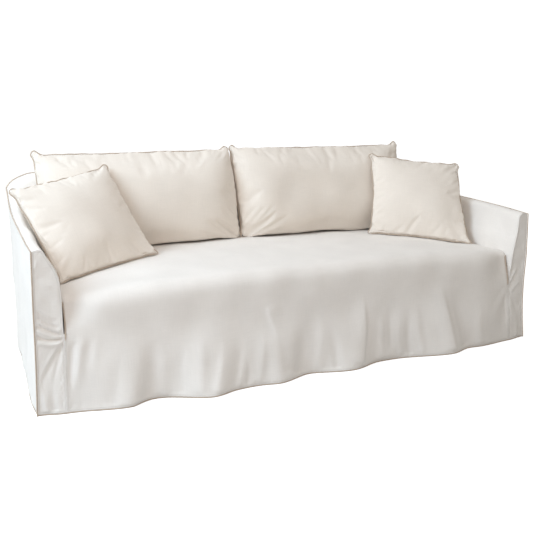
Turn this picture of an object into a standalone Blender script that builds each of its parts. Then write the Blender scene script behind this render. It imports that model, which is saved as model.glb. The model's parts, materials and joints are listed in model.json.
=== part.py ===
"""A fitted slipcover for a long sofa, as it hangs in use, with its two back cushions and two scatter
cushions. The sofa itself is left out, so the cover is a hollow, sewn shell that is open at the floor.

Units are metres and +Z is up. The shapes below are worked out from the middle of the front hem: X to
the right, Y towards the back, Z up from the floor. The empty that everything hangs from then puts the
mount, on the underside of the seat cloth, at the origin.
"""

import math

import bmesh
import bpy
import numpy as np
from mathutils import Vector
from mathutils.bvhtree import BVHTree

LEFT, RIGHT = -1, 1
SIDE_NAMES = {LEFT: "left", RIGHT: "right"}

# Driving dimensions of the cover
HALF_WIDTH = 1.172
DEPTH = 0.950
SEAT_HALF = 1.070
SEAM_HALF = 1.067
SEAT_SIDE_HEIGHT = 0.437
SEAT_CROWN = 0.050
CROWN_AT_EDGE = 0.78
CROWN_DEPTH = 0.840
SEAT_BACK = 0.830
TUCK = 0.014
ARM_LEAN = 0.018
BACK_FOOT = 0.475
CLOTH = 0.0020
SEAM_GAP = 0.0008
CLEAR = 0.0003
BEAD = 0.0025
BEAD_STEP = BEAD + 0.0006
HEM = 2 * BEAD + CLEAR
SLIT_BOTTOM = 0.287
MOUNT_DEPTH = 0.450

# Outer seam along the top of each arm, from the front to the back corner
ARM_TOP = [  # depth, height
    (0.000, 0.626),
    (0.130, 0.634),
    (0.300, 0.643),
    (0.480, 0.650),
    (0.610, 0.656),
    (0.710, 0.664),
    (0.785, 0.678),
    (0.842, 0.703),
    (0.880, 0.728),
    (0.915, 0.748),
    (0.950, 0.762),
]

# Outer seam along the top of the back, from either corner to the middle
BACK_TOP = [  # distance in from the corner, height
    (0.000, 0.762),
    (0.020, 0.788),
    (0.048, 0.809),
    (0.082, 0.823),
    (0.130, 0.832),
    (0.300, 0.836),
    (0.640, 0.838),
]

# Cloth over the top of an arm or the back, from the outer seam to where the inside face starts
TOP_BAND = [  # inset from the outer face, drop below the seam
    (0.000, 0.000),
    (0.014, -0.005),
    (0.029, -0.005),
    (0.042, 0.004),
    (0.051, 0.022),
]

# Inner edge of each arm's front panel: half-widths at heights below the top band
ARM_INNER_EDGE = [  # height, left, right
    (0.604, 1.121, 1.122),
    (0.555, 1.093, 1.117),
    (0.510, 1.078, 1.108),
    (0.460, 1.072, 1.096),
    (0.410, 1.070, 1.087),
    (0.350, 1.069, 1.078),
    (0.287, SEAM_HALF, SEAM_HALF),
]

INNER_COLUMN = {LEFT: 1, RIGHT: 2}

# Heights of the rows of the panels that hang to the floor, from the arm's seam down
HANGING_ROWS = [0.626, 0.555, 0.510, 0.460, 0.410, 0.350, SLIT_BOTTOM, 0.225, 0.165, 0.110, 0.055, HEM]

# Folds of the front skirt: each is a ridge with a gentle and a steep flank that grows to the hem
FRONT_FOLDS = [  # centre at the hem, lean per metre up, left flank, right flank, depth, height it starts at
    (-0.830, 0.10, 0.25, 0.085, 0.042, 0.30),
    (-0.500, 0.14, 0.22, 0.200, 0.080, 0.31),
    (-0.340, 0.10, 0.10, 0.100, 0.030, 0.22),
    (-0.210, 0.05, 0.16, 0.190, 0.058, 0.26),
    (0.155, -0.05, 0.24, 0.170, 0.048, 0.27),
    (0.690, -0.10, 0.30, 0.160, 0.052, 0.35),
    (0.880, -0.20, 0.12, 0.200, 0.020, 0.30),
]
SIDE_FOLDS = [  # the same, along the depth of both sides
    (0.190, 0.00, 0.19, 0.250, 0.015, 0.34),
    (0.560, 0.10, 0.16, 0.120, 0.009, 0.24),
    (0.780, -0.10, 0.12, 0.170, 0.007, 0.20),
]
REAR_FOLDS = [  # the same, across the rear
    (-0.720, 0.05, 0.30, 0.160, 0.020, 0.30),
    (-0.250, -0.08, 0.18, 0.260, 0.014, 0.22),
    (0.280, 0.10, 0.26, 0.150, 0.018, 0.28),
    (0.760, 0.00, 0.20, 0.280, 0.015, 0.32),
]
SEAM_EDGE_SHARE = 0.72
FRONT_BELLY = 0.020
SEAT_BELLY = 0.015
BELLY_REACH = 0.20
REAR_EASE = 0.25
FOLD_GROWTH = 1.25
WAIST = {LEFT: 0.002, RIGHT: 0.012}
WAIST_TOP = 0.420
WAIST_REACH = 0.400

# The inside arms: how they curve down to the seat, and where they leave the front panels' edge
ARM_CURVE = 0.55
ARM_FRONT_BLEND = 0.260
ARM_FOOT_START = 0.040
ARM_FOOT_RUN = 0.120

SEAT_COLUMNS = 52
DECK_ROWS = [SEAT_BACK - 2 * CLEAR, 0.720, 0.610, 0.500, 0.390]
DECK_ROWS += [ARM_TOP[2][0] * SEAT_BACK / DEPTH, 0.185, ARM_TOP[1][0] * SEAT_BACK / DEPTH]
FRONT_RADIUS = 0.065
FRONT_TURNS = [0.0, 32.0, 62.0, 90.0]
SKIRT_HEIGHTS = [0.335] + [height for height in HANGING_ROWS if height <= SLIT_BOTTOM]
CORNER_RECESS = 0.040
CORNER_REACH = 0.140
CORNER_TIGHTENING = 0.38
RECESS_RISE = 0.130
SLIT_WIDTH = 0.004
SLIT_TAPER = 0.040
SLIT_BEAD_LIFT = 1.1
CREVICE = 0.0012

# Cushions: corners are the tips of their ears, seen from the front
CUSHION_CLEAR = 0.0020
CUSHION_SEAM_LIFT = BEAD_STEP + BEAD + 2 * CLEAR
CUSHION_FULLNESS = 0.55
EAR_POWER = 10
SAG_START = 0.3
BACK_CUSHIONS = [  # name, corner, across, height
    ("back_cushion_left", "top_left", -1.088, 0.950),
    ("back_cushion_left", "top_right", -0.120, 0.955),
    ("back_cushion_left", "bottom_right", -0.083, 0.430),
    ("back_cushion_left", "bottom_left", -1.050, 0.430),
    ("back_cushion_right", "top_left", -0.106, 0.955),
    ("back_cushion_right", "top_right", 0.912, 0.953),
    ("back_cushion_right", "bottom_right", 0.905, 0.430),
    ("back_cushion_right", "bottom_left", -0.069, 0.430),
]
BACK_CUSHION_FOOT_DEPTH = 0.716
BACK_CUSHION_TOP_DEPTH = 0.800
BACK_CUSHION_FORM = {
    "columns": 18,
    "rows": 10,
    "front": 0.118,
    "back": 0.105,
    "front_sag": 0.036,
    "back_sag": 0.036,
    "full_u": 10.0,
    "full_v": 2.6,
    "ear": 0.020,
    "pull_left": 0.006,
    "pull_right": 0.004,
    "pull_top": 0.020,
}
SCATTER_CORNERS = [  # name, corner, across, depth, height
    ("scatter_cushion_left", "top_left", -1.198, 0.485, 0.812),
    ("scatter_cushion_left", "top_right", -0.775, 0.680, 0.888),
    ("scatter_cushion_left", "bottom_right", -0.593, 0.486, 0.470),
    ("scatter_cushion_left", "bottom_left", -1.043, 0.249, 0.430),
    ("scatter_cushion_right", "top_left", 0.680, 0.685, 0.902),
    ("scatter_cushion_right", "top_right", 1.113, 0.480, 0.845),
    ("scatter_cushion_right", "bottom_right", 1.032, 0.252, 0.430),
    ("scatter_cushion_right", "bottom_left", 0.606, 0.547, 0.470),
]
SCATTER_FORM = {
    "columns": 12,
    "rows": 12,
    "front": 0.075,
    "back": 0.070,
    "front_sag": 0.0,
    "back_sag": 0.012,
    "full_u": 2.6,
    "full_v": 2.6,
    "ear": 0.030,
    "pull_left": 0.060,
    "pull_right": 0.055,
    "pull_top": 0.050,
}

LINEN = (0.83, 0.79, 0.73, 1.0)
THREAD = (0.46, 0.34, 0.24, 1.0)


def smooth(value):
    """Eases from 0 to 1 as the value goes from 0 to 1."""
    value = min(max(value, 0.0), 1.0)
    return value * value * (3.0 - 2.0 * value)


def table(rows, column, at):
    """Reads a column of a table between its rows, whose first column rises."""
    return float(np.interp(at, [row[0] for row in rows], [row[column] for row in rows]))


def mix(first, second, share):
    return first + (second - first) * share


def folds(rows, along, height):
    """How far the cloth stands out at a place along a panel and a height above the floor."""
    out = 0.0
    for centre, lean, left, right, depth, start in rows:
        if height >= start:
            continue
        offset = along - centre - lean * height
        flank = left if offset < 0 else right
        growth = (1.0 - height / start) ** FOLD_GROWTH
        out += depth * growth * smooth(1.0 - abs(offset) / flank)
    return out


# The surfaces that the panels share


def outer_half(side, depth, height):
    """Half-width of the cover at its outer sides."""
    lean = ARM_LEAN * math.sqrt(depth / DEPTH) * height / ARM_TOP[0][1]
    waist = WAIST[side] * math.sin(math.pi * min(height / WAIST_TOP, 1.0))
    waist *= smooth(1.0 - depth / WAIST_REACH)
    return HALF_WIDTH + lean - waist + folds(SIDE_FOLDS, depth, height)


def rear(across, height):
    """Depth of the outside back."""
    return DEPTH + folds(REAR_FOLDS, across, height) * smooth((HALF_WIDTH - abs(across)) / REAR_EASE)


def front(across, height):
    """Depth of the cover's front face below the seat's rounding; negative is forward."""
    outer = outer_half(LEFT if across < 0 else RIGHT, 0.0, height)
    inside = smooth((outer - abs(across)) / (outer - SEAM_HALF))
    belly = FRONT_BELLY * (1.0 - smooth(height / SLIT_BOTTOM)) * inside
    belly += SEAT_BELLY * smooth((SEAM_HALF - abs(across)) / BELLY_REACH) * smooth(height / BELLY_REACH)
    ripple = folds(FRONT_FOLDS, across, height) * inside
    corner = smooth((abs(across) - SEAM_HALF + CORNER_REACH) / CORNER_REACH)
    recess = CORNER_RECESS * corner * smooth((height - SLIT_BOTTOM) / RECESS_RISE)
    return recess - belly - ripple


def seat_height(across, depth):
    """Height of the seat's crowned cloth, away from its rounded front edge."""
    width_share = 1.0 - min(abs(across) / SEAT_HALF, 1.0) ** 3
    depth_share = mix(CROWN_AT_EDGE, 1.0, math.sin(math.pi * min(depth / CROWN_DEPTH, 1.0)))
    return SEAT_SIDE_HEIGHT + SEAT_CROWN * width_share * depth_share


def inner_half(side, depth, height):
    """Half-width between the arms' inside faces, below the top band."""
    band_inset, band_drop = TOP_BAND[-1]
    top = table(ARM_TOP, 1, depth) - band_drop
    at_top = outer_half(side, depth, top) - band_inset
    share = min((top - height) / (top - BACK_FOOT), 1.0)
    inside = mix(at_top, SEAT_HALF, mix(share, smooth(share), ARM_CURVE))
    scaled = mix(SLIT_BOTTOM, ARM_INNER_EDGE[0][0], (height - SLIT_BOTTOM) / (top - SLIT_BOTTOM))
    at_front = table(ARM_INNER_EDGE[::-1], INNER_COLUMN[side], scaled)
    return mix(at_front, max(inside, SEAT_HALF), smooth(depth / ARM_FRONT_BLEND))


def inside_back(height, seam):
    """Depth of the inside back at a height, where its outer seam is at that other height."""
    top = seam - TOP_BAND[-1][1]
    share = (height - BACK_FOOT) / (top - BACK_FOOT)
    return mix(SEAT_BACK, DEPTH - TOP_BAND[-1][0], min(max(share, 0.0), 1.0))


# Panels


def arm_foot(depth):
    """Height of the inside arm's lower edge, which hangs down beside the slit at the front."""
    share = smooth((depth - ARM_FOOT_START) / ARM_FOOT_RUN)
    return mix(SLIT_BOTTOM, SEAT_SIDE_HEIGHT - TUCK, share)


def inside_arm_point(side, station, row):
    """Point on the inside arm: stations run back along the arm, rows in from the outer seam."""
    station_depth, seam = ARM_TOP[station]
    if row < len(TOP_BAND):
        inset, drop = TOP_BAND[row]
        height = seam - drop
        depth = station_depth * (DEPTH - inset) / DEPTH
        half = outer_half(side, station_depth, seam) - inset
        return Vector((side * half, depth, height))
    top = seam - TOP_BAND[-1][1]
    heights = [entry[0] for entry in ARM_INNER_EDGE]
    share = (heights[0] - heights[row - len(TOP_BAND) + 1]) / (heights[0] - heights[-1])
    height = mix(top, arm_foot(station_depth), share)
    depth = station_depth * inside_back(height, ARM_TOP[-1][1]) / DEPTH
    return Vector((side * inner_half(side, station_depth, height), depth, height))


def back_stations():
    """Shares of the half-width, from -1 to 1, where the back's columns stand."""
    half = outer_half(RIGHT, DEPTH, ARM_TOP[-1][1])
    inner = [1.0 - distance / half for distance, _ in BACK_TOP]
    return [-share for share in inner] + [0.0] + inner[::-1]


def back_seam(share):
    half = outer_half(RIGHT, DEPTH, ARM_TOP[-1][1])
    return table(BACK_TOP, 1, half * (1.0 - abs(share)))


def inside_back_point(share, row):
    """Point on the inside back; its first and last columns meet the inside arms."""
    seam = back_seam(share)
    side = LEFT if share < 0 else RIGHT
    corner = inside_arm_point(side, len(ARM_TOP) - 1, row)
    if row < len(TOP_BAND):
        inset, drop = TOP_BAND[row]
        return Vector((abs(corner.x) * share, DEPTH - inset, seam - drop))
    top = seam - TOP_BAND[-1][1]
    heights = [entry[0] for entry in ARM_INNER_EDGE]
    rows_share = (heights[0] - heights[row - len(TOP_BAND) + 1]) / (heights[0] - heights[-1])
    height = mix(top, SEAT_SIDE_HEIGHT - TUCK, rows_share)
    return Vector((abs(corner.x) * share, inside_back(height, seam), height))


def hanging_height(row, seam):
    """Height of a row of a hanging panel whose top seam is at that height; row 0 is the seam."""
    height = HANGING_ROWS[row]
    if height <= SLIT_BOTTOM:
        return height
    return mix(SLIT_BOTTOM, seam, (height - SLIT_BOTTOM) / (HANGING_ROWS[0] - SLIT_BOTTOM))


def outside_arm_point(side, station, row):
    depth, seam = ARM_TOP[station]
    height = hanging_height(row, seam)
    return Vector((side * outer_half(side, depth, height), depth, height))


def outside_back_point(share, row):
    height = hanging_height(row, back_seam(share))
    corner_height = hanging_height(row, ARM_TOP[-1][1])
    across = outer_half(LEFT if share < 0 else RIGHT, DEPTH, corner_height) * share
    return Vector((across, rear(across, height), height))


def arm_front_point(side, column, row):
    """Point on an arm's front panel: columns run from the outer edge to the inner one."""
    if row == 0:
        return inside_arm_point(side, 0, column)
    height = HANGING_ROWS[row]
    outer = outer_half(side, 0.0, height)
    inner = table(ARM_INNER_EDGE[::-1], INNER_COLUMN[side], height)
    across = mix(outer, inner, column / (len(TOP_BAND) - 1))
    depth = front(across, height) if height <= SLIT_BOTTOM else 0.0
    return Vector((side * across, depth, height))


def seat_path(across, row):
    """Depth and height of the seat and skirt panel at a place across it."""
    if row < len(DECK_ROWS):
        return DECK_ROWS[row], seat_height(across, DECK_ROWS[row])
    turn = row - len(DECK_ROWS)
    corner = smooth((abs(across) - SEAM_HALF + CORNER_REACH) / CORNER_REACH)
    radius = FRONT_RADIUS * (1.0 - CORNER_TIGHTENING * corner)
    top = seat_height(across, front(across, SEAT_SIDE_HEIGHT) + radius)
    face = front(across, top - radius)
    if turn < len(FRONT_TURNS):
        angle = math.radians(FRONT_TURNS[turn])
        depth = face + radius * (1.0 - math.sin(angle))
        return depth, top - radius * (1.0 - math.cos(angle))
    height = SKIRT_HEIGHTS[turn - len(FRONT_TURNS)]
    return front(across, height), height


def seat_half(side, row, arm):
    """Half-width of the seat and skirt panel at a row: to the arm's cloth, its slit or its seam."""
    depth, height = seat_path(SEAM_HALF, row)
    if height < SLIT_BOTTOM:
        return SEAM_HALF
    if height == SLIT_BOTTOM:
        return SEAM_HALF - CREVICE
    hit = arm.ray_cast(Vector((0.0, depth, height)), Vector((side, 0.0, 0.0)))[0]
    slit = SLIT_WIDTH * smooth((SEAT_SIDE_HEIGHT - height) / SLIT_TAPER)
    return abs(hit.x) - CREVICE - slit


# Making cloth solids


def sheet(columns, rows, place, outward):
    """An open sheet: a flat grid whose points are set by place(column, row), facing outward."""
    mesh = bmesh.new()
    bmesh.ops.create_grid(mesh, x_segments=columns, y_segments=rows, size=0.5)
    for vert in mesh.verts:
        column = round((vert.co.x + 0.5) * columns)
        row = round((vert.co.y + 0.5) * rows)
        vert.co = place(column, row)
    mesh.normal_update()
    facing = sum((face.normal * face.calc_area() for face in mesh.faces), Vector())
    if facing.dot(outward) < 0:
        bmesh.ops.reverse_faces(mesh, faces=mesh.faces[:])
    return mesh


def key(point):
    """Two points of neighbouring panels that are meant to meet have the same key."""
    return tuple(round(value, 5) for value in point)


def solve(directions, distance):
    """The shortest step that goes that distance along every one of the directions."""
    wanted = np.full(len(directions), distance)
    return Vector(np.linalg.lstsq(np.array(directions), wanted, rcond=0.1)[0])


def inward_steps(sheets):
    """For each point of the sewn sheets, the step through the cloth, so that seams are mitred."""
    normals = {}
    for mesh in sheets:
        for face in mesh.faces:
            for vert in face.verts:
                normals.setdefault(key(vert.co), []).append(tuple(face.normal))
    return {place: solve(around, -CLOTH) for place, around in normals.items()}


def seam_steps(mesh):
    """For each point of a sheet's edge, the step that leaves half a seam's gap."""
    steps = {}
    for vert in mesh.verts:
        sides = []
        for edge in (e for e in vert.link_edges if e.is_boundary):
            face = edge.link_faces[0]
            side = face.normal.cross(edge.verts[1].co - edge.verts[0].co).normalized()
            middle = (edge.verts[0].co + edge.verts[1].co) / 2
            if side.dot(face.calc_center_median() - middle) < 0:
                side.negate()
            sides.append(tuple(side))
        if sides:
            steps[key(vert.co)] = solve(sides, SEAM_GAP / 2)
    return steps


def thicken(mesh, inward):
    """Gives a sheet its thickness, on the inside, and its seams their gap."""
    apart = seam_steps(mesh)
    inner = bmesh.ops.extrude_face_region(mesh, geom=mesh.faces[:])["geom"]
    inner = {item for item in inner if isinstance(item, bmesh.types.BMVert)}
    for vert in mesh.verts:
        place = key(vert.co)
        vert.co += apart.get(place, Vector())
        if vert in inner:
            vert.co += inward[place]
    bmesh.ops.recalc_face_normals(mesh, faces=mesh.faces[:])
    bmesh.ops.triangulate(mesh, faces=mesh.faces[:], quad_method="SHORT_EDGE")


def material(name, colour, roughness):
    made = bpy.data.materials.new(name)
    made.use_nodes = True
    shader = made.node_tree.nodes["Principled BSDF"]
    shader.inputs["Base Color"].default_value = colour
    shader.inputs["Roughness"].default_value = roughness
    shader.inputs["Metallic"].default_value = 0.0
    return made


def add_object(name, data, finish, home):
    made = bpy.data.objects.new(name, data)
    data.materials.append(finish)
    home["collection"].objects.link(made)
    made.parent = home["root"]
    return made


def add_mesh(name, mesh, finish, home):
    data = bpy.data.meshes.new(name)
    mesh.to_mesh(data)
    mesh.free()
    data.shade_smooth()
    return add_object(name, data, finish, home)


def add_edging(name, points, closed, finish, home):
    """A raised, overlocked edge: a bead along a line of points."""
    curve = bpy.data.curves.new(name, "CURVE")
    curve.dimensions = "3D"
    curve.bevel_depth = BEAD
    curve.bevel_resolution = 1
    curve.use_fill_caps = True
    line = curve.splines.new("POLY")
    line.points.add(len(points) - 1)
    for point, place in zip(line.points, points):
        point.co = (*place, 1.0)
    line.use_cyclic_u = closed
    return add_object(name, curve, finish, home)


def tree(mesh):
    return BVHTree.FromBMesh(mesh)


# The cushions


def rounded(count):
    """Places from -1 to 1, closer together near the ends."""
    return [math.sin(math.pi / 2 * (2.0 * i / count - 1.0)) for i in range(count + 1)]


def lifted(point, seat, clear):
    """The point, no lower than the seat's cloth."""
    hit = seat.ray_cast(Vector((point.x, point.y, 1.0)), Vector((0.0, 0.0, -1.0)))[0]
    if hit is None:
        return point
    return Vector((point.x, point.y, max(point.z, hit.z + clear)))


def seam_point(cushion, seat, u, v):
    """Point on the flat surface that a cushion's seam bounds, with drawn-in sides and small ears."""
    corners = cushion["corners"]
    ear = 1.0 + cushion["ear"] * (abs(u) * abs(v)) ** EAR_POWER - cushion["ear"]
    inner = cushion["pull_left"] if u < 0 else cushion["pull_right"]
    across = u * (1.0 - inner * (1.0 - v * v)) * ear
    up = v * (1.0 - cushion["pull_top"] * (1.0 - u * u)) * ear
    low = corners["bottom_left"].lerp(corners["bottom_right"], (across + 1.0) / 2.0)
    low = lifted(low, seat, CUSHION_SEAM_LIFT)
    high = corners["top_left"].lerp(corners["top_right"], (across + 1.0) / 2.0)
    return low.lerp(high, (up + 1.0) / 2.0)


def crown(cushion, u, v):
    """How far a cushion's face stands from its seam's surface, as a share of its half thickness."""
    return ((1.0 - abs(u) ** cushion["full_u"]) * (1.0 - abs(v) ** cushion["full_v"])) ** CUSHION_FULLNESS


def cushion_front(cushion):
    corners = cushion["corners"]
    rising = corners["top_left"] + corners["top_right"] - corners["bottom_left"] - corners["bottom_right"]
    across = corners["bottom_right"] + corners["top_right"] - corners["bottom_left"] - corners["top_left"]
    return across.cross(rising).normalized()


def pressed(start, end, neighbours, clear):
    """The end, no nearer than that to a neighbour that lies between it and the start."""
    way = end - start
    if way.length < 1e-6:
        return end
    for neighbour in neighbours:
        distance = neighbour.ray_cast(start, way.normalized())[3]
        if distance is not None and distance < way.length + clear:
            way = way.normalized() * max(distance - clear, 0.0)
    return start + way


def cushion_mesh(cushion, seat, neighbours):
    """A filled cushion: two crowned faces that meet at the seam, flat where it rests."""
    columns, rows = cushion["columns"], cushion["rows"]
    across, up = rounded(columns), rounded(rows)
    normal = cushion_front(cushion)
    mesh = bmesh.new()
    for side, face in ((1, "front"), (-1, "back")):

        def place(column, row, side=side, thickness=cushion[face], sag=cushion[face + "_sag"]):
            u, v = across[column], up[row]
            start = seam_point(cushion, seat, u, v)
            if abs(u) == 1.0 or abs(v) == 1.0:
                return start
            full = crown(cushion, u, v)
            end = start + normal * side * thickness * full
            end.z -= sag * smooth(full / SAG_START) * (1.0 - v) / 2.0
            end = lifted(end, seat, 2 * CLEAR)
            return pressed(start, end, neighbours, CUSHION_CLEAR)

        half = sheet(columns, rows, place, normal * side)
        data = bpy.data.meshes.new("half")
        half.to_mesh(data)
        half.free()
        mesh.from_mesh(data)
        bpy.data.meshes.remove(data)
    bmesh.ops.remove_doubles(mesh, verts=mesh.verts[:], dist=CLEAR / 10)
    return mesh


def cushion_edge(cushion, seat):
    """Middle line of the edging round a cushion, just outside its seam."""
    across, up = rounded(cushion["columns"]), rounded(cushion["rows"])
    rim = [(u, -1.0) for u in across[:-1]] + [(1.0, v) for v in up[:-1]]
    rim += [(u, 1.0) for u in across[:0:-1]] + [(-1.0, v) for v in up[:0:-1]]
    seam = [seam_point(cushion, seat, u, v) for u, v in rim]
    normal = cushion_front(cushion)
    line = []
    for i, point in enumerate(seam):
        before = (point - seam[i - 1]).normalized()
        after = (seam[(i + 1) % len(seam)] - point).normalized()
        sides = [tuple(before.cross(normal)), tuple(after.cross(normal))]
        line.append(point + solve(sides, BEAD_STEP))
    return line


def cushions():
    """The four cushions' descriptions, from the tables at the top."""
    found = []
    for name in ("back_cushion_left", "back_cushion_right"):
        corners = {}
        for corner, across, height in [row[1:] for row in BACK_CUSHIONS if row[0] == name]:
            depth = BACK_CUSHION_TOP_DEPTH if corner.startswith("top") else BACK_CUSHION_FOOT_DEPTH
            corners[corner] = Vector((across, depth, height))
        found.append(dict(BACK_CUSHION_FORM, name=name, corners=corners))
    for name in ("scatter_cushion_left", "scatter_cushion_right"):
        corners = {row[1]: Vector(row[2:]) for row in SCATTER_CORNERS if row[0] == name}
        found.append(dict(SCATTER_FORM, name=name, corners=corners))
    return found


def main():
    for old in list(bpy.data.objects):
        bpy.data.objects.remove(old, do_unlink=True)
    collection = bpy.data.collections.new("sofa_slipcover")
    bpy.context.scene.collection.children.link(collection)
    root = bpy.data.objects.new("sofa_frame", None)
    collection.objects.link(root)
    root.location = (0.0, -MOUNT_DEPTH, CLOTH - seat_height(0.0, MOUNT_DEPTH))
    home = {"collection": collection, "root": root}
    cloth = material("linen", LINEN, 0.9)
    thread = material("edging_thread", THREAD, 0.8)

    band = len(TOP_BAND)
    inner_rows = band + len(ARM_INNER_EDGE) - 2
    hanging = len(HANGING_ROWS) - 1
    stations = len(ARM_TOP) - 1
    shares = back_stations()
    sheets = {}
    for side, name in SIDE_NAMES.items():
        sheets["inside_arm_" + name] = sheet(
            stations, inner_rows, lambda c, r, s=side: inside_arm_point(s, c, r), Vector((-side, 0, 1))
        )
        sheets["outside_arm_" + name] = sheet(
            stations, hanging, lambda c, r, s=side: outside_arm_point(s, c, r), Vector((side, 0, 0))
        )
        sheets["arm_front_" + name] = sheet(
            band - 1, hanging, lambda c, r, s=side: arm_front_point(s, c, r), Vector((0, -1, 0))
        )
    sheets["inside_back"] = sheet(
        len(shares) - 1, inner_rows, lambda c, r: inside_back_point(shares[c], r), Vector((0, -1, 1))
    )
    sheets["outside_back"] = sheet(
        len(shares) - 1, hanging, lambda c, r: outside_back_point(shares[c], r), Vector((0, 1, 0))
    )

    seat_rows = len(DECK_ROWS) + len(FRONT_TURNS) + len(SKIRT_HEIGHTS) - 1
    arms = {side: tree(sheets["inside_arm_" + name]) for side, name in SIDE_NAMES.items()}
    halves = {
        side: [seat_half(side, row, arms[side]) for row in range(seat_rows + 1)] for side in SIDE_NAMES
    }

    def seat_place(column, row):
        share = 2.0 * column / SEAT_COLUMNS - 1.0
        across = share * halves[LEFT if share < 0 else RIGHT][row]
        return Vector((across, *seat_path(across, row)))

    sheets["seat_and_skirt"] = sheet(SEAT_COLUMNS, seat_rows, seat_place, Vector((0, -1, 1)))
    seat = tree(sheets["seat_and_skirt"])
    neighbours = [tree(sheets[name]) for name in ("inside_back", "inside_arm_left", "inside_arm_right")]

    inward = inward_steps(sheets.values())

    def beside(points):
        """The middle line of an edging along a seam through those points, just outside it."""
        line = []
        for point in points:
            out = inward[key(point)] * -SEAM_EDGE_SHARE * BEAD_STEP / CLOTH
            line.append(point + out * max(1.0, BEAD_STEP / out.length))
        return line

    def front_corner(side):
        points = [arm_front_point(side, 0, row) for row in range(hanging, -1, -1)]
        points[0].z += CLEAR
        return points

    up_left = front_corner(LEFT)
    up_right = front_corner(RIGHT)
    foot = {key(up[0]): inward[key(up[0] - Vector((0, 0, CLEAR)))] for up in (up_left, up_right)}
    inward.update(foot)
    top = up_left + [inside_arm_point(LEFT, station, 0) for station in range(1, stations + 1)]
    top += [inside_back_point(share, 0) for share in shares[1:]]
    top += [inside_arm_point(RIGHT, station, 0) for station in range(stations - 1, 0, -1)]
    top += up_right[::-1]
    add_edging("top_edging", beside(top), False, thread, home)

    hem = [arm_front_point(LEFT, column, hanging) for column in range(band)]
    hem += [seat_place(column, seat_rows) for column in range(1, SEAT_COLUMNS + 1)]
    hem += [arm_front_point(RIGHT, column, hanging) for column in range(band - 2, -1, -1)]
    hem += [outside_arm_point(RIGHT, station, hanging) for station in range(1, stations + 1)]
    hem += [outside_back_point(share, hanging) for share in shares[-2::-1]]
    hem += [outside_arm_point(LEFT, station, hanging) for station in range(stations - 1, 0, -1)]
    hem = [point + inward[key(point)] / 2 for point in hem]
    add_edging("hem_edging", [Vector((p.x, p.y, BEAD)) for p in hem], True, thread, home)

    for side, name in SIDE_NAMES.items():
        column = 0 if side == LEFT else SEAT_COLUMNS
        line = []
        slit_end = len(DECK_ROWS) + len(FRONT_TURNS) + SKIRT_HEIGHTS.index(SLIT_BOTTOM)
        for row in range(len(DECK_ROWS) + len(FRONT_TURNS) - 2, slit_end + 1):
            point = seat_place(column, row)
            out = inward[key(point)] * -SLIT_BEAD_LIFT * BEAD_STEP / CLOTH
            line.append(point + out + Vector((-side * BEAD_STEP, 0, 0)))
        add_edging("slit_edging_" + name, line, False, thread, home)

    for cushion in cushions():
        mesh = cushion_mesh(cushion, seat, neighbours)
        neighbours.append(tree(mesh))
        add_edging(cushion["name"] + "_edging", cushion_edge(cushion, seat), True, thread, home)
        add_mesh(cushion["name"], mesh, cloth, home)

    for name, mesh in sheets.items():
        thicken(mesh, inward)
        add_mesh(name, mesh, cloth, home)


main()
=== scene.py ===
# %% [markdown]
# # A fitted slipcover for a long sofa
# This lesson dresses the plain solids of a sewn sofa cover. The solids already hang the way the cloth
# does. Each panel of cloth, each cushion and each edging is copied, made finer, given its creases and
# then its own material. All lengths are metres, and the object rides on the single body "root".

# %% Load the frame
import json
import math
import bpy
import numpy as np
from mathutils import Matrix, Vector
from mathutils.bvhtree import BVHTree
from mathutils.kdtree import KDTree

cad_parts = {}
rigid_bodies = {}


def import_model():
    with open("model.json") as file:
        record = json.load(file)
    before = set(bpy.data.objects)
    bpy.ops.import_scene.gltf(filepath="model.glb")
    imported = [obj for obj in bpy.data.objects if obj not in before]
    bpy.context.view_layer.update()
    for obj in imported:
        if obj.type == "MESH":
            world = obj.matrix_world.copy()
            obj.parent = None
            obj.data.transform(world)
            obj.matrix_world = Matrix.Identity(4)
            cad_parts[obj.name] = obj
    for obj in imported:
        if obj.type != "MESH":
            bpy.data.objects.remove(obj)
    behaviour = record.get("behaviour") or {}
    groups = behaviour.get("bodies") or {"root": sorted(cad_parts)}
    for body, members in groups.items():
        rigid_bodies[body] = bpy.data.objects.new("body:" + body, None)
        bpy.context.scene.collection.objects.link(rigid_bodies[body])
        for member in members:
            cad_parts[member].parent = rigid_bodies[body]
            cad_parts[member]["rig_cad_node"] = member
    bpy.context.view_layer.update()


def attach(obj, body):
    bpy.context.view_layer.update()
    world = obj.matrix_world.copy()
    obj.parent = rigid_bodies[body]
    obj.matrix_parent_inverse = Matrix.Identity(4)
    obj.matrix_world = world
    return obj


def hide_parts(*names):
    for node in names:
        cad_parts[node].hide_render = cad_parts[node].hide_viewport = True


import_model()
FLOOR = -0.48493
HEM_MIDDLE = (0.0, -0.450, FLOOR)

# %% [markdown]
# ## The camera
# The cover is seen from its left front corner, from just above the height of a standing person's
# waist. The small shift keeps the upright seams upright, as an architect's camera does.

# %% Camera
camera_data = bpy.data.cameras.new("camera")
camera = bpy.data.objects.new("camera", camera_data)
bpy.context.scene.collection.objects.link(camera)
bpy.context.scene.camera = camera
camera.location = (-1.3904, -3.1072, 0.6650)
camera.rotation_euler = (math.radians(83.0), 0, math.radians(-23.457))
camera_data.sensor_width = 36
camera_data.lens = 47.66
camera_data.shift_y = -0.1358
print("camera at", tuple(camera.location))

# %% [markdown]
# ## Helpers for taking a piece of cloth off its solid
# An operator acts on all that is selected, so the first helper leaves one object selected and nothing
# else. The others read and write all the points of a mesh at once, which is much faster than one by one.

# %% Select one object, and open it for editing
def hold(piece):
    if bpy.context.object and bpy.context.object.mode != "OBJECT":
        bpy.ops.object.mode_set(mode="OBJECT")
    bpy.ops.object.select_all(action="DESELECT")
    piece.select_set(True)
    bpy.context.view_layer.objects.active = piece


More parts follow.
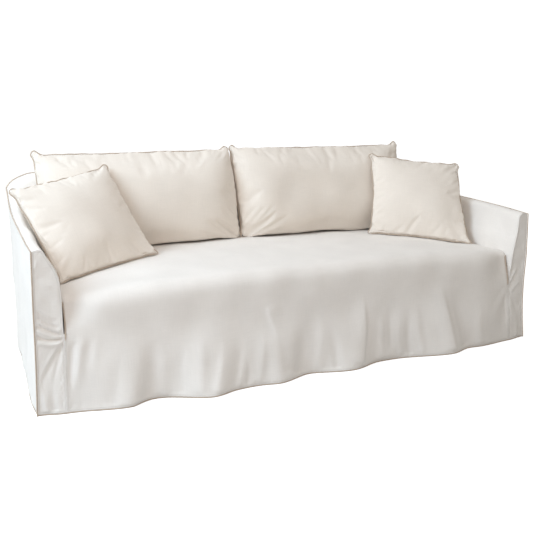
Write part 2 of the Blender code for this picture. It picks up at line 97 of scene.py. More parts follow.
def in_edit(piece, change, faces=None, **settings):
    """Opens a piece for editing with those faces selected, or all of them, changes it and closes it."""
    hold(piece)
    bpy.ops.object.mode_set(mode="EDIT")
    bpy.ops.mesh.select_mode(type="FACE")
    bpy.ops.mesh.select_all(action="SELECT" if faces is None else "DESELECT")
    if faces is not None:
        bpy.ops.object.mode_set(mode="OBJECT")
        piece.data.polygons.foreach_set("select", faces)
        bpy.ops.object.mode_set(mode="EDIT")
    change(**settings)
    bpy.ops.object.mode_set(mode="OBJECT")


# %% Read and write a mesh
def numbers(items, name, width=1, kind=float):
    """One property of all of a mesh's points, edges or faces, as an array."""
    found = np.empty(len(items) * width, kind)
    items.foreach_get(name, found)
    return found.reshape(-1, width) if width > 1 else found


def points_of(piece):
    return numbers(piece.data.vertices, "co", 3)


def normals_of(piece):
    return numbers(piece.data.vertex_normals, "vector", 3)


def pairs_of(piece):
    """The two points of each edge."""
    return numbers(piece.data.edges, "vertices", 2, np.int32)


def open_edges(piece):
    """The two points of each edge that only one face uses."""
    used = numbers(piece.data.loops, "edge_index", kind=np.int32)
    return pairs_of(piece)[np.bincount(used, minlength=len(piece.data.edges)) == 1]


def move_points(piece, places):
    piece.data.vertices.foreach_set("co", np.ascontiguousarray(places, float).ravel())
    piece.data.update()


def tree_of(piece, places=None):
    """A search tree over a piece's faces, with its points as they are or at other places."""
    places = points_of(piece) if places is None else places
    return BVHTree.FromPolygons(places.tolist(), [tuple(face.vertices) for face in piece.data.polygons])


# %% [markdown]
# A solid's mesh is loose triangles, so its copy is merged first and its triangles are paired back into
# the quads that the cloth was drawn with. A panel then keeps only the side that is seen.

# %% Copy a solid
MERGE = 0.00001
RIM_ANGLE = math.radians(52)


def copy_of(node_name, name):
    hold(bpy.data.objects[node_name])
    bpy.ops.object.duplicate()
    piece = bpy.context.object
    bpy.ops.object.parent_clear(type="CLEAR_KEEP_TRANSFORM")
    bpy.ops.object.transform_apply(location=True, rotation=True, scale=True)
    piece.name = piece.data.name = name
    for word in list(piece.keys()):
        del piece[word]
    piece.data.materials.clear()
    bpy.ops.mesh.customdata_custom_splitnormals_clear()
    in_edit(piece, bpy.ops.mesh.remove_doubles, threshold=MERGE)
    return piece


def delete_beyond_rim():
    """Deletes the faces that aren't joined, over gentle bends, to the selected one."""
    bpy.ops.mesh.faces_select_linked_flat(sharpness=RIM_ANGLE)
    bpy.ops.mesh.select_all(action="INVERT")
    bpy.ops.mesh.delete(type="FACE")


def keep_side(piece, direction):
    """Keeps the side of a panel's solid that faces that way."""
    facing = numbers(piece.data.polygons, "normal", 3) @ np.array(Vector(direction).normalized())
    in_edit(piece, delete_beyond_rim, faces=np.arange(len(facing)) == np.argmax(facing))


def into_quads(piece):
    in_edit(
        piece, bpy.ops.mesh.tris_convert_to_quads, face_threshold=math.pi, shape_threshold=math.pi
    )


# %% [markdown]
# ## Rounding the facets without losing the shape
# Subdivision Surface pulls a mesh in at every bend, so folds would go flat. The helper measures how far
# each corner point would be pulled, moves it out by as much first, and only then applies the modifier.
# The finer cloth then runs through the points that it was drawn with.

# %% Smooth a copy through its own points
PULL_ROUNDS = 3
PULL_SHARE = 0.9


def finer(piece, levels, outward_only=False):
    hold(piece)
    modifier = piece.modifiers.new("rounding", "SUBSURF")
    modifier.levels = modifier.render_levels = levels
    modifier.boundary_smooth = "PRESERVE_CORNERS"
    modifier.uv_smooth = "NONE"
    drawn, outward = points_of(piece), normals_of(piece)
    aim = drawn.copy()
    inner = np.full((len(drawn), 1), outward_only)
    inner[open_edges(piece).ravel()] = False
    for _ in range(PULL_ROUNDS):
        shown = piece.evaluated_get(bpy.context.evaluated_depsgraph_get()).to_mesh()
        rounded = numbers(shown.vertices, "co", 3)[: len(drawn)]
        piece.to_mesh_clear()
        miss = PULL_SHARE * (drawn - rounded)
        aim += np.where(inner, (miss * outward).sum(axis=1, keepdims=True) * outward, miss)
        move_points(piece, aim)
        bpy.context.view_layer.update()
    bpy.ops.object.modifier_apply(modifier=modifier.name)
    bpy.ops.object.shade_smooth()
    held = piece.data.attributes.get("crease_edge")
    if held:
        piece.data.attributes.remove(held)
    print(piece.name, "faces after rounding", len(piece.data.polygons))


# %% [markdown]
# ## Creases and slack
# Cloth that hangs has long soft folds and small sharp creases. The long folds are in the solids. A
# crease here is a curve through three places on the flat panel, with its own width on each side, its
# height (a ridge is above 0 and a trough below), and how soon it fades in and out along its length.
# Between its folds no cloth is quite flat: a few dozen long waves in many directions, with a fixed
# seed, add a slow unevenness that is a millimetre or two high.

# %% Draw creases and slack
CREASE_STEPS = 14
CREASE_UNITS = np.array([1000.0] * 9 + [1.0] * 2)
SLACK_WAVES = 26


def smooth(values):
    values = np.clip(values, 0.0, 1.0)
    return values * values * (3.0 - 2.0 * values)


def creases(flat, rows):
    """How far creases lift each flat point. A row has, in millimetres, its start, middle and end, its
    width on the left and right and its height, and then the shares in which it fades in and out."""
    lift = np.zeros(len(flat))
    for row in np.array(rows, float).reshape(-1, 11) / CREASE_UNITS:
        start, middle, end = row[:6].reshape(3, 2)
        left, right, height, fade_in, fade_out = row[6:]
        pull = 2.0 * middle - (start + end) / 2.0
        steps = np.linspace(0.0, 1.0, CREASE_STEPS)[:, None]
        line = (1 - steps) ** 2 * start + 2 * steps * (1 - steps) * pull + steps**2 * end
        near = np.full(len(flat), np.inf)
        along, beside = np.zeros(len(flat)), np.zeros(len(flat))
        for step in range(CREASE_STEPS - 1):
            run = line[step + 1] - line[step]
            offset = flat - line[step]
            share = np.clip(offset @ run / (run @ run), 0.0, 1.0)
            offset = offset - share[:, None] * run
            gap = np.hypot(offset[:, 0], offset[:, 1])
            closer = gap < near
            near[closer] = gap[closer]
            along[closer] = (step + share[closer]) / (CREASE_STEPS - 1)
            beside[closer] = (run[0] * offset[:, 1] - run[1] * offset[:, 0])[closer]
        width = np.where(beside > 0, left, right)
        ends = smooth(along / fade_in) * smooth((1.0 - along) / fade_out)
        lift += height * np.exp(-((near / width) ** 2)) * ends
    return lift


def slack(places, seed, length, height):
    draw = np.random.default_rng(seed)
    lift = np.zeros(len(places))
    for _ in range(SLACK_WAVES):
        way = draw.normal(size=3)
        way /= np.linalg.norm(way)
        period = length * draw.uniform(0.55, 1.6)
        lift += np.cos(2 * math.pi * (places @ way / period + draw.uniform()))
    return lift * height * math.sqrt(2.0 / SLACK_WAVES)


# %% [markdown]
# Creases fade at a seam and stitches run along it, so each point of the cloth is told how far the
# nearest seam is, and how far along that seam it lies. The UV map is in metres, for the weave.

# %% What each point knows of its seam, and the way of the threads
def search_tree(places, indices):
    tree = KDTree(len(indices))
    for index in indices:
        tree.insert(Vector(places[index]), int(index))
    tree.balance()
    return tree


def from_seam(places, pairs):
    """For each place, how far the seam is and how far along it lies. pairs are the seam's edges."""
    beside = {}
    for first, second in pairs:
        beside.setdefault(int(first), []).append(int(second))
        beside.setdefault(int(second), []).append(int(first))
    run, total = {}, 0.0
    for begin in sorted(beside):
        here = begin
        while here not in run:
            run[here] = total
            onward = [other for other in beside[here] if other not in run]
            if not onward:
                break
            total += float(np.linalg.norm(places[onward[0]] - places[here]))
            here = onward[0]
    tree = search_tree(places, run)
    gap, along = np.empty(len(places)), np.empty(len(places))
    for index, place in enumerate(places):
        _, nearest, gap[index] = tree.find(Vector(place))
        along[index] = run[nearest]
    return gap, along


def mark_seam(piece, gap, along):
    for name, values in (("seam_gap", gap), ("seam_run", along)):
        attribute = piece.data.attributes.new(name, "FLOAT", "POINT")
        attribute.data.foreach_set("value", np.asarray(values, np.float32))


def lay_thread(piece, flat):
    layers = piece.data.uv_layers
    layer = layers[0] if layers else layers.new(name="weave")
    layer.name = "weave"
    corners = numbers(piece.data.loops, "vertex_index", kind=np.int32)
    layer.data.foreach_set("uv", np.ascontiguousarray(flat[corners], np.float32).ravel())


# %% [markdown]
# ## Materials
# The cloth is a heavy cotton and linen canvas, washed and off-white. A plain weave is drawn from the
# UV map of each piece: threads over and under each other, with thick places in some threads that stand
# up and catch the light. The colour is painted lighter on the thick places and where a thread is on top,
# as painted highlight, and darker where it dips under, as painted shade, with a slow cloudy unevenness
# of tone besides. The group puts out a colour and a height, and the shader with its fixed sheen stays in
# the material.

# %% Helpers for nodes
def socket(group, name, kind, way, value=None):
    made = group.interface.new_socket(name=name, in_out=way, socket_type="NodeSocket" + kind)
    if value is not None:
        made.default_value = value


def node(tree, kind, **settings):
    made = tree.nodes.new(kind)
    for key, value in settings.items():
        if key in made.inputs.keys():
            made.inputs[key].default_value = value
        else:
            setattr(made, key, value)
    return made


def maths(tree, operation, *values):
    made = tree.nodes.new("ShaderNodeMath")
    made.operation = operation
    for into, value in zip(made.inputs, values):
        if isinstance(value, (int, float)):
            into.default_value = value
        else:
            tree.links.new(value, into)
    return made.outputs[0]


def faded(tree, distance, reach):
    """1 at no distance, and 0 from that reach on."""
    return maths(tree, "SUBTRACT", 1.0, maths(tree, "MINIMUM", maths(tree, "DIVIDE", distance, reach), 1.0))


# %% Start and end a material
def new_material(name, sheen, specular):
    material = bpy.data.materials.new(name)
    material.use_nodes = True
    shader = material.node_tree.nodes["Principled BSDF"]
    shader.inputs["Sheen Weight"].default_value = sheen
    shader.inputs["Specular IOR Level"].default_value = specular
    return material, material.node_tree, shader


def wire(tree, shader, colour, rough, relief, strength, distance):
    """Links a colour, a roughness and a relief to the shader, the relief through a bump."""
    bump = node(tree, "ShaderNodeBump", Strength=strength, Distance=distance)
    tree.links.new(relief, bump.inputs["Height"])
    tree.links.new(bump.outputs["Normal"], shader.inputs["Normal"])
    tree.links.new(colour, shader.inputs["Base Color"])
    tree.links.new(rough, shader.inputs["Roughness"])
    print("material of", len(tree.nodes), "nodes")


# %% The weave as a node group
THREAD = 0.0012
SLUB_SCALES = ((14.0, 420.0, 1.0), (420.0, 14.0, 1.0))


def build_weave():
    group = bpy.data.node_groups.new("plain weave", "ShaderNodeTree")
    socket(group, "Cloth", "Color", "INPUT", (0.8, 0.75, 0.68, 1))
    socket(group, "Thread", "Float", "INPUT", THREAD)
    socket(group, "Slub", "Float", "INPUT", 0.5)
    socket(group, "Variation", "Float", "INPUT", 0.5)
    socket(group, "Color", "Color", "OUTPUT")
    socket(group, "Height", "Float", "OUTPUT")
    inside = node(group, "NodeGroupInput")
    outside = node(group, "NodeGroupOutput")
    link = group.links.new
    uv = node(group, "ShaderNodeUVMap", uv_map="weave")
    parts = node(group, "ShaderNodeSeparateXYZ")
    link(uv.outputs[0], parts.inputs[0])
    slubs = []
    for stretch in SLUB_SCALES:
        long_way = node(group, "ShaderNodeMapping", Scale=stretch)
        link(uv.outputs[0], long_way.inputs["Vector"])
        noise = node(group, "ShaderNodeTexNoise", Scale=1.0, Detail=3.0, Roughness=0.62)
        link(long_way.outputs[0], noise.inputs["Vector"])
        slubs.append(noise.outputs["Fac"])
    half_turns = maths(group, "DIVIDE", math.pi, inside.outputs["Thread"])
    warp = maths(group, "SINE", maths(group, "MULTIPLY", parts.outputs["X"], half_turns))
    weft = maths(group, "SINE", maths(group, "MULTIPLY", parts.outputs["Y"], half_turns))
    over = maths(group, "MULTIPLY", warp, weft)
    both = maths(group, "SUBTRACT", maths(group, "ADD", *slubs), 1.0)
    thick = maths(group, "MULTIPLY", both, inside.outputs["Slub"])
    height = maths(group, "MULTIPLY_ADD", over, 0.28, maths(group, "MULTIPLY_ADD", thick, 1.6, 0.5))
    link(height, outside.inputs["Height"])
    cloudy = node(group, "ShaderNodeTexNoise", Scale=5.0, Detail=4.0, Roughness=0.55)
    link(uv.outputs[0], cloudy.inputs["Vector"])
    drift = maths(group, "MULTIPLY", maths(group, "SUBTRACT", cloudy.outputs["Fac"], 0.5), 0.30)
    # painted highlight on thick threads and threads on top, and painted shade where they dip; the drift is
    # the yarn's own uneven tone
    shade = maths(group, "MULTIPLY_ADD", thick, 0.42, maths(group, "MULTIPLY", over, 0.03))
    shade = maths(group, "MULTIPLY", maths(group, "ADD", shade, drift), inside.outputs["Variation"])
    tint = node(group, "ShaderNodeHueSaturation")
    link(maths(group, "ADD", shade, 1.0), tint.inputs["Value"])
    link(inside.outputs["Cloth"], tint.inputs["Color"])
    link(tint.outputs["Color"], outside.inputs["Color"])
    return group


weave = build_weave()
print("weave group of", len(weave.nodes), "nodes")

# %% [markdown]
# A row of stitches runs beside every sewn edge. The stitches are dashes drawn from the two numbers that
# each point knows of its seam, with a low groove where the thread pulls the cloth in. The cloth is also
# painted darker within a centimetre of each seam and along the groove, as painted shade where the
# panels meet and in the groove.

# %% Cloth material
STITCH_STEP = 0.0042
STITCH_SHARE = 0.36
STITCH_INSET = 0.0062
STITCH_WIDTH = 0.0005
GROOVE = 0.0016
SEAM_SHADE_REACH = 0.010


def canvas(name, colour, sheen):
    material, tree, shader = new_material(name, sheen, 0.25)
    shader.inputs["Sheen Roughness"].default_value = 0.5
    threads = node(tree, "ShaderNodeGroup")
    threads.node_tree = weave
    threads.inputs["Cloth"].default_value = colour
    gap = node(tree, "ShaderNodeAttribute", attribute_name="seam_gap").outputs["Fac"]
    run = node(tree, "ShaderNodeAttribute", attribute_name="seam_run").outputs["Fac"]
    dash = maths(tree, "FRACT", maths(tree, "DIVIDE", run, STITCH_STEP))
    dash = maths(tree, "ABSOLUTE", maths(tree, "SUBTRACT", dash, 0.5))
    dash = maths(tree, "LESS_THAN", dash, STITCH_SHARE)
    line = maths(tree, "ABSOLUTE", maths(tree, "SUBTRACT", gap, STITCH_INSET))
    stitch = maths(tree, "MULTIPLY", maths(tree, "LESS_THAN", line, STITCH_WIDTH), dash)
    groove = faded(tree, line, GROOVE)
    # painted shade: darker near each seam, where the panels meet, and in the stitch groove
    painted_seam_shade = maths(tree, "MULTIPLY_ADD", faded(tree, gap, SEAM_SHADE_REACH), -0.07, 1.0)
    painted_seam_shade = maths(tree, "MULTIPLY_ADD", groove, -0.05, painted_seam_shade)
    tint = node(tree, "ShaderNodeHueSaturation")
    tree.links.new(maths(tree, "MULTIPLY_ADD", stitch, -0.08, painted_seam_shade), tint.inputs["Value"])
    tree.links.new(threads.outputs["Color"], tint.inputs["Color"])
    height = threads.outputs["Height"]
    rough = maths(tree, "MULTIPLY_ADD", height, -0.12, 0.95)
    relief = maths(tree, "MULTIPLY_ADD", groove, -1.3, height)
    relief = maths(tree, "MULTIPLY_ADD", stitch, 2.2, relief)
    wire(tree, shader, tint.outputs["Color"], rough, relief, 0.55, 0.0004)
    return material


cover_cloth = canvas("washed canvas", (0.84, 0.80, 0.755, 1.0), 0.25)
# the cushions are of the same canvas, painted darker and warmer as painted shade, for the shade they sit in
cushion_canvas_painted_shade = canvas("cushion canvas in painted shade", (0.82, 0.75, 0.672, 1.0), 0.3)

# %% [markdown]
# The edges are overlocked with a thick tan thread. On a thin round edge the thread shows as slanting
# turns, so a wave runs across the bead's own place in space. The gaps between the turns are painted
# darker, as painted shade, and a noise makes the tone of the thread uneven.

# %% Edging material
TAN = (0.60, 0.49, 0.39, 1.0)


def overlock(name, colour):
    material, tree, shader = new_material(name, 0.3, 0.3)
    place = node(tree, "ShaderNodeTexCoord").outputs["Object"]
    turns = node(
        tree, "ShaderNodeTexWave", bands_direction="DIAGONAL", Scale=95.0, Distortion=1.2, Detail=2.0
    )
    turns.inputs["Detail Scale"].default_value = 2.0
    uneven = node(tree, "ShaderNodeTexNoise", Scale=60.0, Detail=3.0)
    for pattern in (turns, uneven):
        tree.links.new(place, pattern.inputs["Vector"])
    tint = node(tree, "ShaderNodeHueSaturation", Color=colour)
    # painted shade: the thread is darker in the gaps between its turns; the noise is the thread's own
    # uneven tone
    value = maths(tree, "MULTIPLY_ADD", turns.outputs["Fac"], 0.34, 0.62)
    value = maths(tree, "MULTIPLY_ADD", uneven.outputs["Fac"], 0.30, value)
    tree.links.new(value, tint.inputs["Value"])
    rough = maths(tree, "MULTIPLY_ADD", turns.outputs["Fac"], -0.15, 0.85)
    wire(tree, shader, tint.outputs["Color"], rough, turns.outputs["Fac"], 0.8, 0.0012)
    return material


edge_thread = overlock("overlock thread", TAN)


def finish(piece, material, name):
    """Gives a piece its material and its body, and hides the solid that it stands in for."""
    piece.data.materials.clear()
    piece.data.materials.append(material)
    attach(piece, "root")
    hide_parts(name)


# %% [markdown]
# ## The sewn panels
# Each panel keeps only the outer faces of its solid. It is made finer, creased, and given back the
# thickness of the cloth with Solidify. Creases fade out at the sewn edges, so that neighbouring panels
# still meet in their seam, and small puckers rise just beside the stitching.

# %% Cut and shape a panel
CLOTH = 0.0018
CELL = 0.06
CUT_SNAP = 0.004
SOFT_EDGE = math.radians(60)
SEAM_FADE = 0.016
PUCKERS = (7, 0.022, 0.0008)  # seed, length and height
PUCKER_GAP, PUCKER_WIDTH = 0.008, 0.010
FROM_FRONT = ((1, 0, 0), (0, 0, 1))
FROM_SIDE = ((0, 1, 0), (0, 0, 1))


def cut_even(piece, ways):
    """Cuts a panel's long faces into even cells, so that its folds are equally fine all over."""
    for way in ways:
        reach = points_of(piece) @ np.array(way, float)
        for level in np.arange(reach.min() + CELL, reach.max() - CELL / 2, CELL):
            middle = Vector(way) * level
            in_edit(piece, bpy.ops.mesh.bisect, plane_co=middle, plane_no=way, threshold=CUT_SNAP)


def panel(name, outward, levels, seen, waves, rows, thread=None, cuts=(), closer_below=None):
    """A panel of cloth off its solid. seen gives the two directions that its creases are drawn along,
    and thread those that its threads follow, where they are others."""
    piece = copy_of(name, name + "_cloth")
    keep_side(piece, outward)
    into_quads(piece)
    cut_even(piece, cuts)
    finer(piece, levels, outward_only=True)
    if closer_below:
        middles = numbers(piece.data.polygons, "center", 3)
        low = (middles[:, 1] < 0.0) & (middles[:, 2] < closer_below)
        in_edit(piece, bpy.ops.mesh.subdivide, faces=low, number_cuts=1, smoothness=1.0)
    places, normals = points_of(piece), normals_of(piece)
    gap, run = from_seam(places, open_edges(piece))
    calm = smooth(gap / SEAM_FADE)
    flat = (places - HEM_MIDDLE) @ np.array(seen, float).T
    pucker = slack(places, *PUCKERS) * np.exp(-(((gap - PUCKER_GAP) / PUCKER_WIDTH) ** 2))
    lift = (creases(flat, rows) + slack(places, *waves) + pucker) * calm
    move_points(piece, places + normals * lift[:, None])
    lay_thread(piece, flat if thread is None else places @ np.array(thread, float).T)
    mark_seam(piece, gap, run)
    hold(piece)
    wall = piece.modifiers.new("thickness", "SOLIDIFY")
    wall.thickness = CLOTH
    wall.offset = -1.0
    bpy.ops.object.modifier_apply(modifier=wall.name)
    bpy.ops.object.shade_smooth_by_angle(angle=SOFT_EDGE)
    return piece


# %% [markdown]
# ## Seat and skirt
# One long piece of cloth covers the seat, rolls over its front and hangs to the floor. Its solid has
# the seven long folds of the skirt. The creases here are the sharper lines between them, written as
# places across and above the floor, from the hem upward.

# %% Seat and skirt
SKIRT_CREASES = [  # start, middle, end, left, right, height in mm; fade in, fade out
    (-1060, 50, -1048, 169, -1036, 275, 14, 14, -7, 0.5, 0.15),
    (-1030, 60, -1014, 203, -998, 300, 16, 20, 7, 0.4, 0.3),
    (-975, 120, -956, 214, -948, 300, 16, 22, 3.5, 0.5, 0.4),
    (-905, 6, -880, 120, -872, 240, 30, 22, -3, 0.1, 0.5),
    (-766, 6, -741, 130, -732, 262, 32, 36, -7.8, 0.1, 0.5),
    (-700, 6, -690, 110, -700, 220, 26, 26, 4, 0.1, 0.5),
    (-622, 6, -622, 120, -610, 230, 22, 18, -3.2, 0.1, 0.5),
    (-560, 6, -543, 134, -535, 275, 32, 22, 5, 0.1, 0.5),
    (-494, 6, -462, 100, -434, 235, 22, 52, 8.5, 0.1, 0.5),
    (-398, 20, -380, 120, -356, 250, 30, 20, -3.6, 0.3, 0.5),
    (-395, 6, -372, 72, -362, 150, 14, 18, 3.4, 0.1, 0.6),
    (-352, 6, -340, 62, -344, 140, 12, 16, -3, 0.1, 0.6),
    (-300, 6, -275, 115, -262, 240, 24, 18, 4.4, 0.1, 0.5),
    (-186, 160, -212, 245, -240, 330, 16, 42, 5.6, 0.6, 0.2),
    (-160, 20, -172, 110, -190, 220, 24, 30, -3.6, 0.2, 0.5),
    (-108, 6, -80, 114, -94, 240, 32, 30, -7, 0.1, 0.5),
    (-15, 6, 12, 150, 0, 310, 26, 28, 4.6, 0.1, 0.5),
    (82, 6, 75, 100, 52, 210, 18, 22, -4.6, 0.1, 0.55),
    (198, 6, 228, 169, 222, 330, 46, 12, 8.5, 0.1, 0.45),
    (330, 6, 322, 130, 336, 260, 22, 16, 4.2, 0.1, 0.5),
    (376, 40, 368, 150, 380, 290, 14, 16, -3.2, 0.2, 0.5),
    (430, 6, 414, 130, 424, 270, 18, 24, 3.4, 0.1, 0.5),
    (478, 6, 462, 110, 468, 240, 16, 18, -4.2, 0.1, 0.5),
    (540, 6, 514, 140, 510, 280, 26, 20, 4.2, 0.1, 0.5),
    (704, 6, 674, 160, 640, 360, 52, 19, 9, 0.1, 0.45),
    (786, 6, 752, 150, 716, 300, 26, 40, -6, 0.1, 0.5),
    (880, 6, 868, 120, 890, 230, 30, 24, 3.2, 0.1, 0.55),
    (930, 140, 998, 226, 1062, 286, 18, 24, -2.6, 0.6, 0.12),
    (930, 60, 1000, 180, 1063, 280, 30, 24, 2.8, 0.6, 0.2),
    (1010, 40, 1040, 150, 1062, 262, 18, 20, -3.2, 0.6, 0.25),
]
seat = panel(
    "seat_and_skirt", (0, -1, 1), 2, FROM_FRONT, (11, 0.24, 0.0016), SKIRT_CREASES,
    thread=((1, 0, 0), (0, 1, -1)), closer_below=FLOOR + 0.36,
)

# %% [markdown]
# ## Front panels of the arms
# These narrow panels hang free from the top of each arm and sag a little where the seat's corner holds
# them, so their creases run across and then fan down from the bottom of the slit.

# %% Front panels of the arms
LEFT_FRONT_CREASES = [
    (-1172, 412, -1126, 372, -1082, 348, 5, 6.5, -5.4, 0.2, 0.3),
    (-1172, 392, -1123, 351, -1070, 325, 5, 6.5, -7.4, 0.2, 0.25),
    (-1172, 372, -1120, 336, -1068, 311, 8, 8, 5.8, 0.2, 0.2),
    (-1172, 358, -1117, 320, -1066, 297, 5, 6, -8.2, 0.15, 0.15),
    (-1172, 338, -1116, 304, -1066, 293, 8, 7, 5.8, 0.15, 0.15),
    (-1174, 312, -1122, 286, -1063, 289, 5.5, 4.5, -8, 0.1, 0.08),
    (-1174, 298, -1120, 272, -1064, 279, 7, 12, 7, 0.15, 0.15),
    (-1168, 80, -1116, 200, -1064, 281, 10, 13, -6.6, 0.5, 0.08),
    (-1160, 150, -1112, 226, -1066, 280, 9, 9, 4, 0.6, 0.1),
    (-1118, 90, -1096, 189, -1063, 274, 10, 10, -5.6, 0.6, 0.08),
    (-1142, 6, -1144, 60, -1160, 120, 14, 16, 5.6, 0.1, 0.6),
    (-1112, 6, -1116, 70, -1110, 130, 12, 14, -4, 0.1, 0.6),
    (-1152, 460, -1113, 425, -1080, 388, 14, 18, -2.6, 0.4, 0.5),
    (-1154, 525, -1126, 500, -1090, 484, 12, 12, 3, 0.4, 0.4),
]
RIGHT_FRONT_CREASES = [
    (1069, 318, 1082, 351, 1108, 402, 9, 12, -4.4, 0.15, 0.4),
    (1072, 262, 1098, 304, 1138, 350, 9, 11, -4.6, 0.1, 0.4),
    (1072, 284, 1096, 322, 1128, 372, 10, 9, 4.4, 0.1, 0.4),
    (1078, 236, 1110, 268, 1150, 300, 10, 10, 3.4, 0.2, 0.4),
    (1080, 228, 1108, 180, 1138, 110, 14, 13, -3.4, 0.4, 0.5),
    (1120, 6, 1124, 70, 1112, 150, 14, 14, 3.4, 0.1, 0.6),
]
for side, seed, rows in (("left", 21, LEFT_FRONT_CREASES), ("right", 22, RIGHT_FRONT_CREASES)):
    panel("arm_front_" + side, (0, -1, 0), 4, FROM_FRONT, (seed, 0.15, 0.0014), rows)

# %% [markdown]
# ## Insides of the arms
# The cloth is drawn down beside the seat here, so its creases are few and soft and run towards the
# place where it is tucked in.

# %% Insides of the arms
INSIDE_LEFT_CREASES = [
    (60, 440, 100, 500, 110, 590, 20, 28, -4, 0.2, 0.5),
    (180, 450, 200, 520, 240, 600, 30, 24, 3.4, 0.2, 0.5),
]
INSIDE_RIGHT_CREASES = [
    (50, 440, 70, 500, 60, 580, 14, 20, -3.6, 0.2, 0.5),
    (110, 450, 150, 520, 150, 600, 22, 28, 3.6, 0.2, 0.5),
    (230, 455, 260, 530, 330, 610, 18, 26, -3.4, 0.2, 0.5),
]
for side, way, seed, rows in (
    ("left", 1, 31, INSIDE_LEFT_CREASES), ("right", -1, 32, INSIDE_RIGHT_CREASES)
):
    panel(
        "inside_arm_" + side, (way, 0, 1), 3, FROM_SIDE, (seed, 0.20, 0.0016), rows,
        thread=((0, 1, 0), (-way, 0, 1)),
    )

# %% [markdown]
# ## Outsides of the arms, and the back
# These panels hang straight from the seam along the top, so their creases are long, upright and
# shallow, and they deepen towards the hem.

# %% Outsides of the arms
OUTSIDE_CREASES = [
    (62, 6, 58, 120, 50, 250, 16, 20, 6, 0.05, 0.6),
    (112, 6, 96, 190, 110, 440, 22, 34, -10, 0.05, 0.6),
    (215, 6, 205, 150, 190, 360, 36, 20, 9.5, 0.05, 0.6),
    (290, 6, 282, 90, 286, 190, 18, 22, -6, 0.05, 0.6),
    (352, 6, 356, 140, 330, 320, 20, 32, -8.8, 0.05, 0.6),
    (430, 6, 424, 110, 436, 240, 20, 26, 6, 0.05, 0.6),
    (500, 6, 495, 190, 470, 480, 26, 36, 9.6, 0.05, 0.6),
    (575, 6, 580, 100, 572, 210, 20, 18, -6.2, 0.05, 0.6),
    (652, 6, 656, 160, 640, 370, 20, 30, -10, 0.05, 0.6),
    (770, 6, 760, 190, 780, 500, 32, 20, 9.6, 0.05, 0.6),
    (868, 6, 866, 200, 890, 540, 18, 26, -9.2, 0.05, 0.6),
    (925, 250, 880, 440, 800, 580, 22, 28, 5, 0.3, 0.5),
    (40, 470, 130, 510, 250, 500, 16, 24, -4.4, 0.2, 0.6),
]
for side, way, seed in (("left", -1, 41), ("right", 1, 42)):
    panel(
        "outside_arm_" + side, (way, 0, 0), 2, FROM_SIDE, (seed, 0.26, 0.0018), OUTSIDE_CREASES,
        thread=FROM_SIDE, cuts=FROM_SIDE,
    )

# %% Outside and inside of the back
BACK_CREASES = [
    (-1120, 6, -1110, 130, -1122, 270, 18, 22, 6, 0.05, 0.6),
    (-1052, 6, -1046, 260, -1080, 580, 24, 36, -11, 0.05, 0.6),
    (-950, 6, -946, 110, -958, 220, 20, 24, -6, 0.05, 0.6),
    (-860, 6, -880, 230, -850, 480, 36, 22, 11, 0.05, 0.6),
    (-742, 6, -730, 130, -742, 300, 26, 30, -7, 0.05, 0.6),
    (-640, 6, -646, 90, -640, 180, 18, 20, 6, 0.05, 0.6),
    (-560, 6, -550, 210, -580, 460, 26, 42, -11, 0.05, 0.6),
    (-352, 6, -366, 190, -346, 410, 40, 24, 9.8, 0.05, 0.6),
    (-262, 6, -254, 100, -262, 210, 22, 18, -6, 0.05, 0.6),
    (-92, 6, -80, 260, -110, 580, 26, 36, -10.4, 0.05, 0.6),
    (20, 6, 30, 120, 22, 250, 20, 26, 6.6, 0.05, 0.6),
    (132, 6, 120, 200, 140, 430, 32, 22, 10.4, 0.05, 0.6),
    (270, 6, 276, 140, 262, 300, 30, 30, -6.6, 0.05, 0.6),
    (432, 6, 442, 240, 420, 500, 22, 38, -11, 0.05, 0.6),
    (540, 6, 536, 90, 546, 190, 18, 22, 5.8, 0.05, 0.6),
    (642, 6, 630, 210, 660, 440, 36, 24, 10.8, 0.05, 0.6),
    (800, 6, 806, 110, 796, 240, 24, 26, -6.6, 0.05, 0.6),
    (932, 6, 944, 250, 908, 540, 26, 34, -10.8, 0.05, 0.6),
    (1060, 6, 1052, 150, 1066, 320, 24, 22, 7, 0.05, 0.6),
    (-1090, 720, -980, 640, -850, 600, 20, 28, -6, 0.2, 0.6),
    (1086, 720, 970, 650, 830, 612, 24, 20, -6, 0.2, 0.6),
    (-420, 700, -400, 610, -420, 500, 24, 30, 4.4, 0.2, 0.6),
    (300, 700, 320, 600, 300, 480, 30, 24, -4.6, 0.2, 0.6),
]
panel("outside_back", (0, 1, 0), 2, FROM_FRONT, (51, 0.30, 0.0020), BACK_CREASES, cuts=FROM_FRONT)
panel(
    "inside_back", (0, -1, 1), 2, FROM_FRONT, (61, 0.28, 0.0016), [], thread=((1, 0, 0), (0, 1, 1))
)

# %% [markdown]
# ## Cushions
# A cushion is two flat squares sewn together and filled, so its cloth is a little too long near the
# seam and gathers there. Blender's Cloth does this: the seam is pinned, the cloth is allowed to grow by
# about a hundredth, and air pressure fills it. How far a point may move is capped, less where another
# piece is close, so the cushion still rests where its solid does.

# %% The four cushions
# tip is the radius of a corner, neck how far the seam is drawn in beside it, folds how deep the creases
# that start there are, sag how far the top edge hangs, slack the length and height of the long waves, and
# fill how tightly the cushion is stuffed, from 0 to 1
BACK = {"tip": 0.028, "neck": 0.0018, "slack": (0.26, 0.0026), "fill": 0.65}
SCATTER = {"tip": 0.034, "neck": 0.0045, "slack": (0.20, 0.0020), "fill": 0.6, "folds": 1.0, "sag": 0.004}
OUTER_SIDE = (0.002, 0.002, 0.002, 0.003, 0.004)
INNER_SIDE = (-0.003, 0.007, 0.0125, 0.0115, 0.000)
